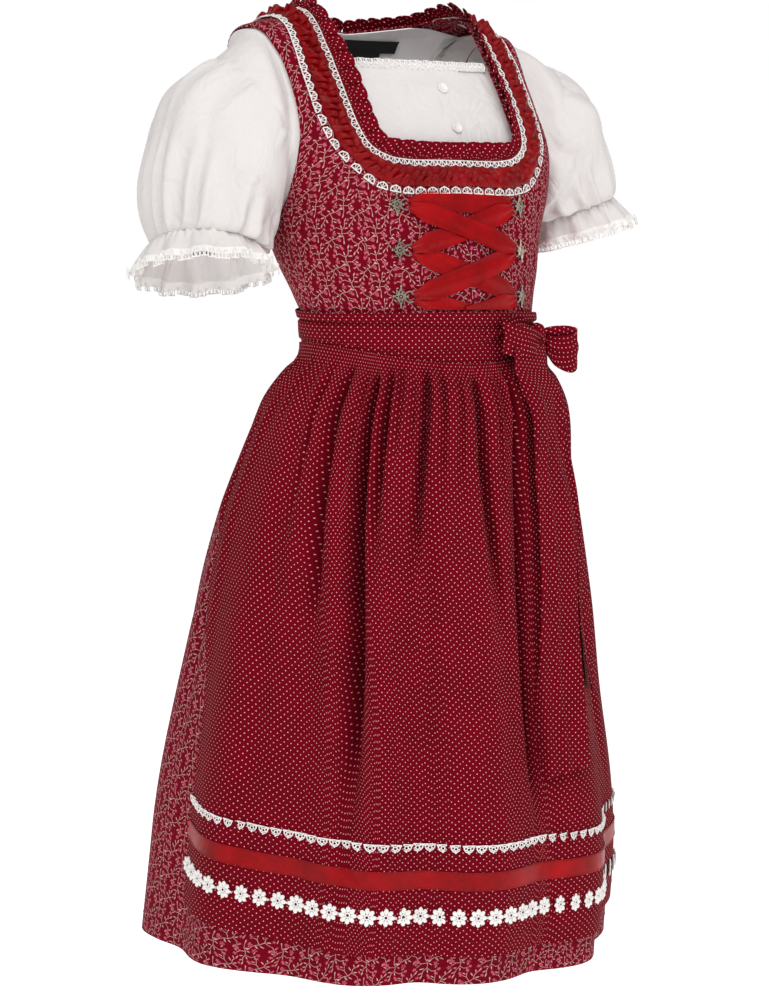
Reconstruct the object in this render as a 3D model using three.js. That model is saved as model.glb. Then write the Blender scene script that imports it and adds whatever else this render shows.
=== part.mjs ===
// A child's dirndl set as it is worn: a white puff-sleeved blouse, a floral bodice with a gathered skirt,
// and a dotted apron tied in a bow. Millimetres, +Z up. X runs to the wearer's left and the front faces
// -Y. The origin is midway between the two shoulder seams, on the line where the shoulders carry the set.
import * as THREE from "three";

// ---------------------------------------------------------------- driving sizes
const SEAM_GAP = 0.3; // clear space at every seam
const LEAN = 0.045; // drop per mm towards the wearer's left: the set is worn with that shoulder lower
const SHOULDER_SLOPE = 0.28; // fall of the shoulder seam per mm outwards, past the neck
const SHOULDER_FADE = 80; // distance down the chest over which that fall dies out

// Layers of cloth, as distances out from the figure.
const BLOUSE = { inner: 0, outer: 1 };
const LINING = { inner: 0.7, outer: 1.7 };
const SHELL = { inner: 2.6, outer: 4.1 };
const TRIM = 4.4; // what is sewn on the shell starts here

const WAIST_Z = -262; // seam between bodice and skirt, under the apron band
const BAND = { top: -238, topDip: 3, bottom: -282, sideRise: 12, inner: 5.6, outer: 7, fold: 1.2 };
const HEM_Z = -787;
const SKIRT_THICK = 1.2;
const APRON = { hem: -763, sideRise: 21, inner: 3.8, outer: 5 };
const GATHERS = { count: 20, depth: 3, length: 95 }; // along the apron's top edge
const STRAP = { inner: 76, outer: 128 }; // strap edges at the shoulder seam
const UNDERARM = 222; // way down the side at which the armhole starts
const BLOUSE_BOTTOM = 270; // the blouse ends below the bust
const BLOUSE_NECK = 79; // way down to the blouse's front neckline
const BLOUSE_LACE = 9;
const STRAND = { width: 17, end: 6.5, thick: 0.7 };
const HOOK = { reach: 9, ring: 3.6, thick: 2.2 };

const COLOURS = {
  cotton: { color: 0xe9e6e3, roughness: 0.85 },
  lace: { color: 0xefebe4, roughness: 0.9 },
  floral: { color: 0x7d1030, roughness: 0.8 },
  dotted: { color: 0x6b0a1c, roughness: 0.8 },
  satin: { color: 0xa9161f, roughness: 0.35 },
  silver: { color: 0xb9b5ac, roughness: 0.35, metalness: 0.9 },
  pearl: { color: 0xe8e6e4, roughness: 0.25 },
  black: { color: 0x141416, roughness: 0.7 },
};

// ---------------------------------------------------------------- tables and small maths
const lerp = THREE.MathUtils.lerp;
const clamp = THREE.MathUtils.clamp;
const smooth = (t) => THREE.MathUtils.smoothstep(t, 0, 1);
const power = (value, exponent) => Math.sign(value) * Math.abs(value) ** exponent;
const point = (x, y, z) => new THREE.Vector3(x, y, z);

/** Slopes for a cubic that passes through the values without overshoot. */
function slopes(keys, values) {
  const secant = keys.slice(1).map((key, i) => (values[i + 1] - values[i]) / (key - keys[i]));
  return keys.map((_, i) => {
    if (i === 0) return secant[0];
    if (i === keys.length - 1) return secant[i - 1];
    const [a, b] = [secant[i - 1], secant[i]];
    return a * b <= 0 ? 0 : (2 * a * b) / (a + b);
  });
}

/** Smooth table: the first column is the key, and the result maps a key to an object of the others. */
function profile(columns, rows) {
  const keys = rows.map((row) => row[0]);
  const tracks = columns.slice(1).map((name, c) => {
    const values = rows.map((row) => row[c + 1]);
    return { name, values, slope: slopes(keys, values) };
  });
  return (key) => {
    const at = clamp(key, keys[0], keys[keys.length - 1]);
    let i = 0;
    while (i < keys.length - 2 && at > keys[i + 1]) i += 1;
    const step = keys[i + 1] - keys[i];
    const t = (at - keys[i]) / step;
    const result = {};
    for (const { name, values, slope } of tracks)
      result[name] =
        values[i] * (1 + 2 * t) * (1 - t) ** 2 +
        slope[i] * step * t * (1 - t) ** 2 +
        values[i + 1] * t ** 2 * (3 - 2 * t) +
        slope[i + 1] * step * t ** 2 * (t - 1);
    return result;
  };
}

/** Turns an even share of a curve's length into its own parameter, both from 0 to 1. */
function evenly(curve, steps = 240) {
  const lengths = [0];
  for (let i = 1; i <= steps; i += 1)
    lengths.push(lengths[i - 1] + curve(i / steps).distanceTo(curve((i - 1) / steps)));
  return (share) => {
    const target = share * lengths[steps];
    let i = 1;
    while (i < steps && lengths[i] < target) i += 1;
    return (i - 1 + (target - lengths[i - 1]) / (lengths[i] - lengths[i - 1])) / steps;
  };
}

// ---------------------------------------------------------------- meshes
const model = new THREE.Group();
const pose = new THREE.Matrix4().set(1, 0, 0, 0, 0, 1, 0, 0, -LEAN, 0, 1, 0, 0, 0, 0, 1);

function geometryOf(points, faces) {
  const geometry = new THREE.BufferGeometry();
  const numbers = points.flatMap((p) => p.toArray());
  geometry.setAttribute("position", new THREE.Float32BufferAttribute(numbers, 3));
  let volume = 0;
  for (const [a, b, c] of faces) volume += points[a].dot(points[b].clone().cross(points[c]));
  geometry.setIndex(faces.flatMap(([a, b, c]) => (volume < 0 ? [a, c, b] : [a, b, c])));
  return geometry;
}

/** Closed wall of cloth: at(u, v, out) is its point for u and v from 0 to 1, `out` mm off its form. */
function wall(at, columns, rows, inner, outer, round = false) {
  const across = round ? columns : columns + 1;
  const points = [];
  for (const out of [inner, outer])
    for (let j = 0; j <= rows; j += 1)
      for (let i = 0; i < across; i += 1) points.push(at(i / columns, j / rows, out));
  const spot = (layer, i, j) => layer * across * (rows + 1) + j * across + (i % across);
  const faces = [];
  const quad = (a, b, c, d) => faces.push([a, b, c], [a, c, d]);
  for (let j = 0; j < rows; j += 1)
    for (let i = 0; i < columns; i += 1) {
      quad(spot(1, i, j), spot(1, i + 1, j), spot(1, i + 1, j + 1), spot(1, i, j + 1));
      quad(spot(0, i, j), spot(0, i, j + 1), spot(0, i + 1, j + 1), spot(0, i + 1, j));
    }
  for (let i = 0; i < columns; i += 1) {
    quad(spot(0, i, 0), spot(0, i + 1, 0), spot(1, i + 1, 0), spot(1, i, 0));
    quad(spot(1, i, rows), spot(1, i + 1, rows), spot(0, i + 1, rows), spot(0, i, rows));
  }
  for (let j = 0; j < rows && !round; j += 1) {
    quad(spot(1, 0, j), spot(1, 0, j + 1), spot(0, 0, j + 1), spot(0, 0, j));
    quad(spot(0, columns, j), spot(0, columns, j + 1), spot(1, columns, j + 1), spot(1, columns, j));
  }
  return geometryOf(points, faces);
}

function add(name, colour, geometry) {
  geometry.applyMatrix4(pose);
  const mesh = new THREE.Mesh(geometry, new THREE.MeshStandardMaterial(COLOURS[colour]));
  mesh.name = name;
  model.add(mesh);
}

// ---------------------------------------------------------------- the figure inside the bodice
// down: way along the cloth from the shoulder ridge. front and back: depth of the section on either side of
// the side seam's line. square: exponent of the section, 2 for an ellipse.
const FIGURE = profile(
  ["down", "z", "halfWidth", "front", "back", "seamY", "square"],
  [
    [0, 0, 148, 0, 0, 0, 2.5],
    [12, -1.5, 148, 12, 14, 0, 2.5],
    [25, -6, 147, 23, 30, 0, 2.5],
    [38, -13, 146, 33, 43, 0, 2.5],
    [51, -22, 145, 42, 52, 0, 2.5],
    [79, -42, 142, 57, 64, -3, 2.5],
    [117, -72, 139, 72, 76, -10, 2.7],
    [153, -102, 136, 80, 84, -19, 3.0],
    [195, -140, 128, 84, 89, -32, 2.6],
    [234, -178, 118, 85, 88, -39, 2.2],
    [261, -205, 112, 83, 84, -46, 2.1],
    [286, -230, 105, 77, 78, -54, 2.0],
    [311, -255, 99, 72, 72, -60, 2.0],
    [344, -288, 99, 72, 72, -60, 2.0],
  ],
);

const FIGURE_BASE = { down: 344, z: -288 };

/** Point of the bare figure. turn: angle from centre front, + to the left. Negative downs are at the back. */
function figure(turn, down) {
  if (down < 0) return figure(Math.PI - turn, -down);
  const ring = FIGURE(down);
  const side = power(Math.sin(turn), 2 / ring.square);
  const forward = power(Math.cos(turn), 2 / ring.square);
  const x = ring.halfWidth * side;
  const fall = SHOULDER_SLOPE * Math.max(0, Math.abs(x) - STRAP.inner) * (1 - smooth(down / SHOULDER_FADE));
  return point(x, ring.seamY - forward * (forward > 0 ? ring.front : ring.back), ring.z - fall);
}

/** Point `out` mm off the figure, along its normal. */
function onFigure(turn, down, out) {
  const here = figure(turn, down);
  const along = figure(turn + 0.01, down).sub(figure(turn - 0.01, down));
  const fall = figure(turn, down + 0.5).sub(figure(turn, down - 0.5));
  const normal = along.cross(fall).normalize();
  return here.addScaledVector(normal, -out);
}

/** Angle at which the front (or, with a negative down, the back) has this x. */
function turnAt(x, down) {
  const ring = FIGURE(Math.abs(down));
  return Math.sign(x) * Math.asin(Math.min(1, Math.abs(x) / ring.halfWidth) ** (ring.square / 2));
}

const atX = (x, down, out) => onFigure(turnAt(x, down), down, out);

// ---------------------------------------------------------------- seams and edges of the bodice
// Angles from centre front of the seams beside the centre panel and of the side panel.
const FRONT_SEAMS = profile(
  ["down", "centre", "side"],
  [
    [153, 21.8, 24.8],
    [165, 24, 30],
    [182, 26.5, 36.5],
    [208, 29.5, 41.5],
    [243, 32.3, 44.5],
    [291, 36, 49],
    [330, 37, 50],
  ],
);
// Angle of the back seam, from centre back.
const BACK_SEAM = profile(
  ["down", "turn"],
  [
    [28, 18],
    [60, 22],
    [150, 26],
    [230, 32],
    [330, 33],
  ],
);
// Angles of the armhole's edge, from centre front and from centre back.
const ARMHOLE = profile(
  ["down", "front", "back"],
  [
    [0, 57, 57],
    [43, 55.6, 55.5],
    [66, 54.9, 55],
    [90, 54.7, 55.5],
    [117, 55.4, 57],
    [146, 58.3, 60.5],
    [167, 64.4, 66],
    [189, 73.5, 73.5],
    [203, 79.5, 79.5],
    [215, 86, 86],
    [222, 90, 90],
  ],
);
// Stations of the neckline's trims, from centre front to centre back: neck edge, outer edge of the last
// lace, and the share of that width which the ruffle's foot takes. A negative way down is on the back.
const NECK = profile(
  ["station", "xIn", "downIn", "xOut", "downOut", "foot"],
  [
    [0, 0, 160, 0, 198, 0.27],
    [1, 30, 160, 45, 199, 0.27],
    [2, 50, 159, 72, 195, 0.27],
    [3, 63, 156, 89, 182, 0.27],
    [4, 69, 148, 101.6, 165, 0.28],
    [5, 71, 133, 108.5, 146, 0.28],
    [6, 72, 113, 110.5, 116, 0.27],
    [7, 73, 82, 110.5, 84, 0.25],
    [8, 75, 50, 109, 53, 0.2],
    [9, 76, 22, 107, 24, 0.12],
    [10, 76, 0, 106, 0, 0.08],
    [11, 72, -17, 104, -30, 0.12],
    [12, 60, -30, 91, -60, 0.2],
    [13, 36, -38, 58, -78, 0.22],
    [14, 0, -41, 0, -84, 0.22],
  ],
);
const NECK_END = 14;
const RIDGE_STATION = 10;
const BODICE_BOTTOM = 318; // way down at which the bodice meets the waist seam

// Ways down of the rows of every bodice panel, closer together round the underarm and over the shoulder.
const ROWS = [
  ...[BODICE_BOTTOM, 302, 285, 255, UNDERARM, 217, 208, 194, 176],
  ...[153, 128, 102, 76, 52, 28, 12, SEAM_GAP / 2],
];
const DEGREE = Math.PI / 180;
const GAP_TURN = 0.0016; // half a seam gap as an angle round the body

/** Panel whose edges are functions of the way down that give an angle; rows lists the ways down. */
function panel(near, far, columns, rows, { inner, outer }) {
  const last = rows.length - 1;
  const at = (u, v, out) => {
    const down = rows[Math.round(v * last)];
    const [a, b] = [near(down), far(down)];
    return onFigure(lerp(a.turn, b.turn, u), lerp(a.down, b.down, u), out);
  };
  return wall(at, columns, last, inner, outer);
}

/** The same edge on the wearer's right. */
const mirrored = (edge) => (down) => {
  const here = edge(down);
  return { turn: -here.turn, down: here.down };
};

/** Edge that goes up the side seam, then round the armhole to the shoulder seam. `inset` is in mm. */
function sideEdge(back, inset = 0) {
  const toward = back ? -1 : 1;
  const middle = Math.PI / 2;
  return (down) => {
    const gap = GAP_TURN + inset / 100;
    const fromMiddle = down >= UNDERARM ? 0 : middle - ARMHOLE(down)[back ? "back" : "front"] * DEGREE;
    return { turn: middle - toward * (fromMiddle + gap), down };
  };
}

const NECK_ROW = 153; // the front panels' neck corner
const BACK_ROW = 28; // way down of the back neck's corner
const CENTRE_BACK_TOP = 41;
const rowsFrom = (top, bottom = BODICE_BOTTOM) => ROWS.filter((down) => down >= top && down <= bottom);
const above = (start, down) => (start - down) / (start - SEAM_GAP / 2);

const centreSeam = (gap) => (down) => ({ turn: FRONT_SEAMS(down).centre * DEGREE + gap, down });

/** Front seam of the side panel; above the neck corner it is the strap's inner edge. */
const sideSeam = (gap) => (down) => {
  if (down >= NECK_ROW) return { turn: FRONT_SEAMS(down).side * DEGREE + gap, down };
  return { turn: turnAt(lerp(72.5, STRAP.inner, smooth(above(NECK_ROW, down))), down), down };
};

/** Back seam; above the back neck's corner it is the strap's inner edge. */
const backSeam = (gap) => (down) => {
  if (down >= BACK_ROW) return { turn: Math.PI - BACK_SEAM(down).turn * DEGREE + gap, down };
  const ease = Math.sin((above(BACK_ROW, down) * Math.PI) / 2);
  return { turn: Math.PI - lerp(BACK_SEAM(BACK_ROW).turn * DEGREE, turnAt(STRAP.inner, down), ease), down };
};

const centreBack = (down) => ({
  turn: Math.PI - GAP_TURN,
  down: lerp(BODICE_BOTTOM, CENTRE_BACK_TOP, (BODICE_BOTTOM - down) / (BODICE_BOTTOM - BACK_ROW)),
});

const BACK_COLUMNS = 3;
const BACK_SIDE_COLUMNS = 5;

function buildBodice() {
  const lower = rowsFrom(NECK_ROW);
  const middle = centreSeam(-GAP_TURN);
  add("bodice_front_centre", "floral", panel(mirrored(middle), middle, 6, lower, SHELL));
  const halves = [
    ["bodice_front_side", centreSeam(GAP_TURN), sideSeam(-GAP_TURN), 1, lower],
    ["bodice_side", sideSeam(GAP_TURN), sideEdge(false), 4, ROWS],
    ["bodice_back_side", backSeam(-GAP_TURN), sideEdge(true), BACK_SIDE_COLUMNS, ROWS],
    ["bodice_back", centreBack, backSeam(GAP_TURN), BACK_COLUMNS, rowsFrom(BACK_ROW)],
  ];
  for (const [name, near, far, columns, rows] of halves) {
    add(name + "_left", "floral", panel(near, far, columns, rows, SHELL));
    add(name + "_right", "floral", panel(mirrored(near), mirrored(far), columns, rows, SHELL));
  }
}

/** Back lining, seen inside the neck and made on the back panels' own points, and the bare label on it. */
function buildLining() {
  const rows = rowsFrom(BACK_ROW, 194);
  const reach = BACK_COLUMNS + 3;
  const at = (u, v, out) => {
    const down = rows[Math.round(v * (rows.length - 1))];
    const column = Math.round((2 * u - 1) * reach);
    const past = Math.max(0, Math.abs(column) - BACK_COLUMNS) / BACK_SIDE_COLUMNS;
    const near = past > 0 ? backSeam(0)(down) : centreBack(down);
    const far = past > 0 ? sideEdge(true)(down) : backSeam(0)(down);
    const share = past > 0 ? past : Math.abs(column) / BACK_COLUMNS;
    const fromBack = column === 0 ? 0 : Math.PI - lerp(near.turn, far.turn, share);
    const turn = Math.PI - fromBack * Math.sign(column);
    return onFigure(turn, lerp(near.down, far.down, share), out);
  };
  add("back_lining", "cotton", wall(at, 2 * reach, rows.length - 1, LINING.inner, LINING.outer));
  const label = { half: 30, top: 50, height: 13 };
  const lift = LINING.inner - SEAM_GAP;
  const labelAt = (u, v, out) =>
    atX(lerp(-label.half, label.half, u), -(label.top + label.height * (1 - v)), out);
  add("neck_label", "black", wall(labelAt, 6, 1, lift - 2.3, lift - 1.5));
}

// ---------------------------------------------------------------- trims round the neckline
const RIDGE_LIFT = 1; // the trims' long stitches bridge the shoulder's bend by this much
/** 1 on the shoulder ridge, fading to 0 at the front and back. */
const standing = (s) => 1 - smooth(Math.abs(Math.abs(s) * NECK_END - RIDGE_STATION) / 7);

/** Point of the neckline's band: s from -1 to 1 round the neck, 0 at centre front, w across it. */
function onNeckband(s, w, out) {
  const { xIn, downIn, xOut, downOut } = NECK(Math.abs(s) * NECK_END);
  const x = Math.sign(s) * lerp(xIn, xOut, w);
  return atX(x, lerp(downIn, downOut, w), out + RIDGE_LIFT * standing(s));
}

const neckEven = evenly((t) => onNeckband(t, 0.4, 0));
const neckAlong = (u) => {
  const side = 2 * u - 1;
  return Math.sign(side) * neckEven(Math.abs(side)) * 0.998;
};

function buildNeckTrims() {
  const ruffle = { pleats: 50, depth: 2.8, thick: 1, lift: 1.5, stand: 2.5, columnsPerPleat: 2 };
  const ruffleAt = (u, v, out) => {
    const s = neckAlong(u);
    const { foot } = NECK(Math.abs(s) * NECK_END);
    const flare = 1 - v;
    const wave = 0.5 - 0.5 * Math.cos(2 * Math.PI * ruffle.pleats * u);
    const rise = flare * (ruffle.lift + ruffle.stand * standing(s) + ruffle.depth * wave);
    return onNeckband(s, lerp(-0.06, foot - 0.015, v), out + rise);
  };
  const ruffleColumns = ruffle.pleats * ruffle.columnsPerPleat;
  add("neck_ruffle", "dotted", wall(ruffleAt, ruffleColumns, 1, TRIM, TRIM + ruffle.thick));
  const bandAt = (from, to, bulge) => (u, v, out) => {
    const s = neckAlong(u);
    const { foot } = NECK(Math.abs(s) * NECK_END);
    const w = foot + (1 - foot) * lerp(from, to, v);
    return onNeckband(s, w, out + (out > TRIM ? bulge(u, v, s) : 0));
  };
  const flat = () => 0;
  add("neck_lace_inner", "lace", wall(bandAt(0.01, 0.19, flat), 56, 1, TRIM, TRIM + 1));
  const ruche = { puffs: 32, height: 3.2, shoulder: 3 };
  const puff = (u, v, s) => {
    const across = Math.sin(Math.PI * v);
    const zigzag = 0.5 + 0.5 * Math.cos(2 * Math.PI * ruche.puffs * u + Math.PI * 0.9 * v);
    return across * (ruche.height + ruche.shoulder * standing(s)) * (0.45 + 0.55 * zigzag);
  };
  add("neck_ruche", "satin", wall(bandAt(0.2, 0.79, puff), ruche.puffs * 3, 2, TRIM, TRIM + 1.4));
  add("neck_lace_outer", "lace", wall(bandAt(0.82, 1, flat), 56, 1, TRIM, TRIM + 1));
}

// ---------------------------------------------------------------- hooks and lacing
const HOOKS = [
  { x: 61.7, down: 207.5 },
  { x: 60.4, down: 245 },
  { x: 59.8, down: 282 },
];

/** Silver hook: a pointed square with a ball at each tip, and an open ring towards centre front. */
function hookGeometry(side) {
  const outline = new THREE.Shape();
  const tips = 8;
  for (let i = 0; i < tips * 2; i += 1) {
    const angle = (i / (tips * 2)) * 2 * Math.PI;
    const radius = i % 4 === 0 ? HOOK.reach : i % 2 === 0 ? HOOK.reach * 0.72 : HOOK.reach * 0.6;
    const spotOn = [radius * Math.cos(angle), radius * Math.sin(angle)];
    if (i === 0) outline.moveTo(...spotOn);
    else outline.lineTo(...spotOn);
  }
  const eye = new THREE.Path();
  eye.absarc(-side * HOOK.reach * 0.42, 0, HOOK.ring * 0.55, 0, 2 * Math.PI, true);
  outline.holes.push(eye);
  const options = { depth: HOOK.thick, bevelEnabled: false, curveSegments: 6 };
  return new THREE.ExtrudeGeometry(outline, options);
}

function buildHooks() {
  for (const [label, side] of [
    ["right", -1],
    ["left", 1],
  ])
    HOOKS.forEach(({ x, down }, i) => {
      const base = atX(side * x, down, SHELL.outer + SEAM_GAP);
      const normal = atX(side * x, down, SHELL.outer + 10).sub(base).normalize();
      const up = point(0, 0, 1);
      const across = up.clone().cross(normal).normalize();
      const basis = new THREE.Matrix4().makeBasis(across, normal.clone().cross(across), normal);
      const geometry = hookGeometry(side).applyMatrix4(basis.setPosition(base));
      add("hook_" + label + "_" + (i + 1), "silver", geometry);
    });
}

// Each stretch of the lacing, from a hook to a hook. lift: layer that it lies in. The last two run under
// the band.
const LACING = [
  { from: -1, fromRow: 0, fromShift: -2, to: 1, toRow: 0, toShift: -2, lift: 0 },
  { from: -1, fromRow: 0, fromShift: -5, to: 1, toRow: 1, toShift: 4, lift: 2 },
  { from: 1, fromRow: 0, fromShift: -5, to: -1, toRow: 1, toShift: 4, lift: 1 },
  { from: -1, fromRow: 1, fromShift: -5, to: 1, toRow: 2, toShift: 4, lift: 0 },
  { from: 1, fromRow: 1, fromShift: -5, to: -1, toRow: 2, toShift: 4, lift: 1 },
  { from: -1, fromRow: 2, fromShift: -4, to: 0.1, toRow: 2, toShift: -14, lift: 0 },
  { from: 1, fromRow: 2, fromShift: -4, to: -0.1, toRow: 2, toShift: -14, lift: 1 },
];
const LACING_END = 292.5; // way down to the band's top edge, where the lacing goes out of sight

function buildLacing() {
  const eye = (row) => HOOKS[row].x - HOOK.reach - 1.5;
  const layerStep = STRAND.thick + SEAM_GAP + 0.3;
  LACING.forEach((run, i) => {
    const start = { x: run.from * eye(run.fromRow), down: HOOKS[run.fromRow].down - run.fromShift };
    const end = { x: run.to * eye(run.toRow), down: HOOKS[run.toRow].down - run.toShift };
    const length = Math.hypot(end.x - start.x, end.down - start.down);
    const side = { x: (end.down - start.down) / length, down: -(end.x - start.x) / length };
    const free = Math.abs(run.to) < 1;
    const at = (u, v, out) => {
      const taper = free ? smooth(v / 0.35) : smooth(Math.min(v, 1 - v) / 0.3);
      const half = lerp(STRAND.end, STRAND.width, taper) / 2;
      const across = lerp(-half, half, u);
      const x = lerp(start.x, end.x, v) + side.x * across;
      const down = lerp(start.down, end.down, v) + side.down * across;
      return atX(x, Math.min(down, LACING_END), out);
    };
    const base = TRIM + run.lift * layerStep;
    add("lacing_" + (i + 1), "satin", wall(at, 1, 8, base, base + STRAND.thick));
  });
}

// ---------------------------------------------------------------- blouse
const BLOUSE_INSET = 2.5; // its edge lies this far inside the bodice's armhole, where the sleeve takes over
// Edge to which the right front laps over the left one.
const PLACKET = profile(
  ["down", "x"],
  [
    [66, 43],
    [151, 22],
    [275, 12],
  ],
);

/** Rows of a blouse front: each has its way down at the placket or neck edge and at the side. */
const BLOUSE_ROWS = [
  { down: BLOUSE_BOTTOM, inner: "placket", side: BLOUSE_BOTTOM },
  { down: 240, inner: "placket", side: 250 },
  { down: 200, inner: "placket", side: 222 },
  { down: 165, inner: "placket", side: 214 },
  { down: 130, inner: "placket", side: 203 },
  { down: 100, inner: "placket", side: 190 },
  { down: 79, inner: "placket", side: 174 },
  { down: 79, inner: "neck", x: 60, side: 150 },
  { down: 79, inner: "neck", x: 73, side: 124 },
  { down: 72, inner: "neck", x: 77, side: 98 },
  { down: 50, inner: "neck", x: 80, side: 66 },
  { down: 25, inner: "neck", x: 83, side: 32 },
  { down: SEAM_GAP / 2, inner: "neck", x: 84, side: SEAM_GAP / 2 },
];

// Back of the blouse: its columns' shares of the way from centre back to the armhole, and its scooped neck.
const BLOUSE_BACK = {
  shares: [0, 0.28, 0.5, 0.64, 0.7, 0.84, 1],
  rows: 7,
  scoop: 112,
  strapShare: 0.69,
  slack: 2.8,
};

function buildBlouse() {
  const last = BLOUSE_ROWS.length - 1;
  const front = (side) => (u, v, out) => {
    const row = BLOUSE_ROWS[Math.round(v * last)];
    const gap = side > 0 ? SEAM_GAP / 2 : -SEAM_GAP / 2;
    const x = row.inner === "placket" ? PLACKET(row.down).x + gap : side * row.x;
    const edge = sideEdge(false, BLOUSE_INSET)(row.side);
    const turn = lerp(turnAt(x, row.down), side * edge.turn, u);
    return onFigure(turn, lerp(row.down, row.side, u), out);
  };
  add("blouse_front_left", "cotton", wall(front(1), 4, last, BLOUSE.inner, BLOUSE.outer));
  add("blouse_front_right", "cotton", wall(front(-1), 5, last, BLOUSE.inner, BLOUSE.outer));
  const { shares, rows, scoop, strapShare, slack } = BLOUSE_BACK;
  const reach = shares.length - 1;
  const topOf = (share) => scoop * Math.sqrt(Math.max(0, 1 - (share / strapShare) ** 4));
  const backAt = (u, v, out) => {
    const column = Math.round((2 * u - 1) * reach);
    const share = shares[Math.abs(column)];
    const down = lerp(BLOUSE_BOTTOM, Math.max(SEAM_GAP / 2, topOf(share)), v);
    const edge = Math.PI - sideEdge(true, BLOUSE_INSET)(down).turn;
    const turn = Math.PI - edge * share ** 0.9;
    return onFigure(turn * (column < 0 ? -1 : 1), down, out - slack * (1 - share ** 4));
  };
  add("blouse_back", "cotton", wall(backAt, 2 * reach, rows, BLOUSE.inner, BLOUSE.outer));
  const laceReach = 71;
  const laceAt = (u, v, out) => {
    const x = lerp(-laceReach, laceReach, u);
    return atX(x, BLOUSE_NECK - 3 * SEAM_GAP - BLOUSE_LACE * (1 - v), out + (1 - v));
  };
  add("blouse_neck_lace", "lace", wall(laceAt, 16, 1, BLOUSE.inner, BLOUSE.outer));
  const button = { radius: 5, thick: 2.2, x: 14, downs: [100, 139] };
  button.downs.forEach((down, i) => {
    const base = atX(button.x, down, BLOUSE.outer + SEAM_GAP);
    const normal = atX(button.x, down, 20).sub(base).normalize();
    const geometry = new THREE.CylinderGeometry(button.radius, button.radius, button.thick, 16);
    geometry.translate(0, button.thick / 2, 0);
    geometry.applyQuaternion(new THREE.Quaternion().setFromUnitVectors(point(0, 1, 0), normal));
    geometry.translate(base.x, base.y, base.z);
    add("blouse_button_" + (i + 1), "pearl", geometry);
  });
}

// Sections of the left sleeve from the shoulder to the elastic: its top and underarm points, the middle's
// y, and half its depth from front to back.
const SLEEVE = profile(
  ["section", "topX", "topZ", "underX", "underZ", "midY", "halfDepth"],
  [
    [0, 132, -18, 129, -168, -16, 50],
    [1, 143, -23, 128.5, -173, -15, 54],
    [2, 157, -32, 128, -176, -15, 58],
    [3, 172, -40, 127.5, -178, -14, 61],
    [4, 188, -47, 127, -180, -12, 64],
    [5, 202, -57, 127, -182, -10, 65],
    [6, 211, -72, 128, -184, -9, 65],
    [7, 217, -92, 129, -186, -9, 64],
    [8, 224, -114, 130, -188, -10, 62],
    [9, 230, -143, 134, -190, -14, 62],
    [10, 232, -161, 142, -188, -20, 55],
    [11, 229, -172, 152, -183, -25, 41],
  ],
);
const SLEEVE_END = 11;
// The arms hang unevenly: how far each cuff drops and comes in, and the way that its flounce points.
const ARMS = {
  right: { side: -1, drop: 2, inward: 0, flare: 18, axis: [0.15, -0.32, -0.94] },
  left: { side: 1, drop: -13, inward: 8, flare: 14, axis: [0.2, -0.15, -0.97] },
};
const CUFF = { centre: [191, -25, -177.5], radius: 40.5 };
const FLOUNCE = { length: 19, lace: 10, waves: 12, depth: 2.6 };

/** Point placed on the arm: share is 0 at the shoulder and 1 from the elastic on. */
function onArm(here, share, arm) {
  const level = here.x * LEAN * arm.side; // takes out the lean, which the arms don't follow
  const sag = smooth(share);
  here.z += level * sag - arm.drop * sag;
  here.x = arm.side * (here.x - arm.inward * sag);
  return here;
}

/** Point of the left armhole's loop, `beyond` mm past the bodice's edge: angle 0 is the shoulder seam. */
function onArmhole(angle, beyond, out) {
  const back = Math.sin(angle) < 0;
  const below = 0.5 - 0.5 * Math.cos(angle);
  const down = UNDERARM * below;
  const fromMiddle = (90 - ARMHOLE(down)[back ? "back" : "front"]) * DEGREE;
  const rise = smooth((below - 0.85) / 0.15);
  const inward = Math.max(GAP_TURN, fromMiddle - (beyond / 85) * (1 - rise));
  const lowest = UNDERARM - 2 * SEAM_GAP;
  return onFigure(Math.PI / 2 + (back ? inward : -inward), clamp(down - beyond * rise, 0.1, lowest), out);
}

/** Point of the elastic or the flounce: `reach` mm below the elastic. */
function onCuff(angle, reach, out, arm) {
  const axis = point(...arm.axis).normalize();
  const outward = point(0, -1, 0).cross(axis).normalize();
  const ahead = axis.clone().cross(outward).normalize();
  const share = reach / (FLOUNCE.length + FLOUNCE.lace);
  const wave = FLOUNCE.depth * share * Math.cos(FLOUNCE.waves * angle);
  const radius = CUFF.radius + arm.flare * share ** 0.8 + wave + out;
  return point(...CUFF.centre)
    .addScaledVector(axis, reach)
    .addScaledVector(outward, radius * Math.cos(angle))
    .addScaledVector(ahead, radius * Math.sin(angle));
}

const SLEEVE_COLUMNS = 24;
const SLEEVE_ROWS = 10;
const SLEEVE_THICK = 1.2;

/** Sleeve: two rings that follow the armhole, then puffed sections, and last the elastic. */
const onSleeve = (arm) => (u, v, out) => {
  const angle = 2 * Math.PI * u;
  const row = Math.round(v * SLEEVE_ROWS);
  if (row < 2) {
    const layer = BLOUSE.outer + (out / SLEEVE_THICK) * (BLOUSE.outer - BLOUSE.inner);
    return onArm(onArmhole(angle, row === 0 ? 1.4 - BLOUSE_INSET : 4, layer), 0, arm);
  }
  const share = (row - 1) / (SLEEVE_ROWS - 1);
  const ring = SLEEVE(share * SLEEVE_END);
  const up = point(ring.topX - ring.underX, 0, ring.topZ - ring.underZ).multiplyScalar(0.5);
  const half = up.length();
  const here = point((ring.topX + ring.underX) / 2, ring.midY, (ring.topZ + ring.underZ) / 2)
    .addScaledVector(up.normalize(), (half + out) * Math.cos(angle))
    .add(point(0, -(ring.halfDepth + out) * Math.sin(angle), 0));
  return onArm(here.lerp(onCuff(angle, 0, out, arm), smooth((share - 0.75) / 0.25)), share, arm);
};

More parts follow.
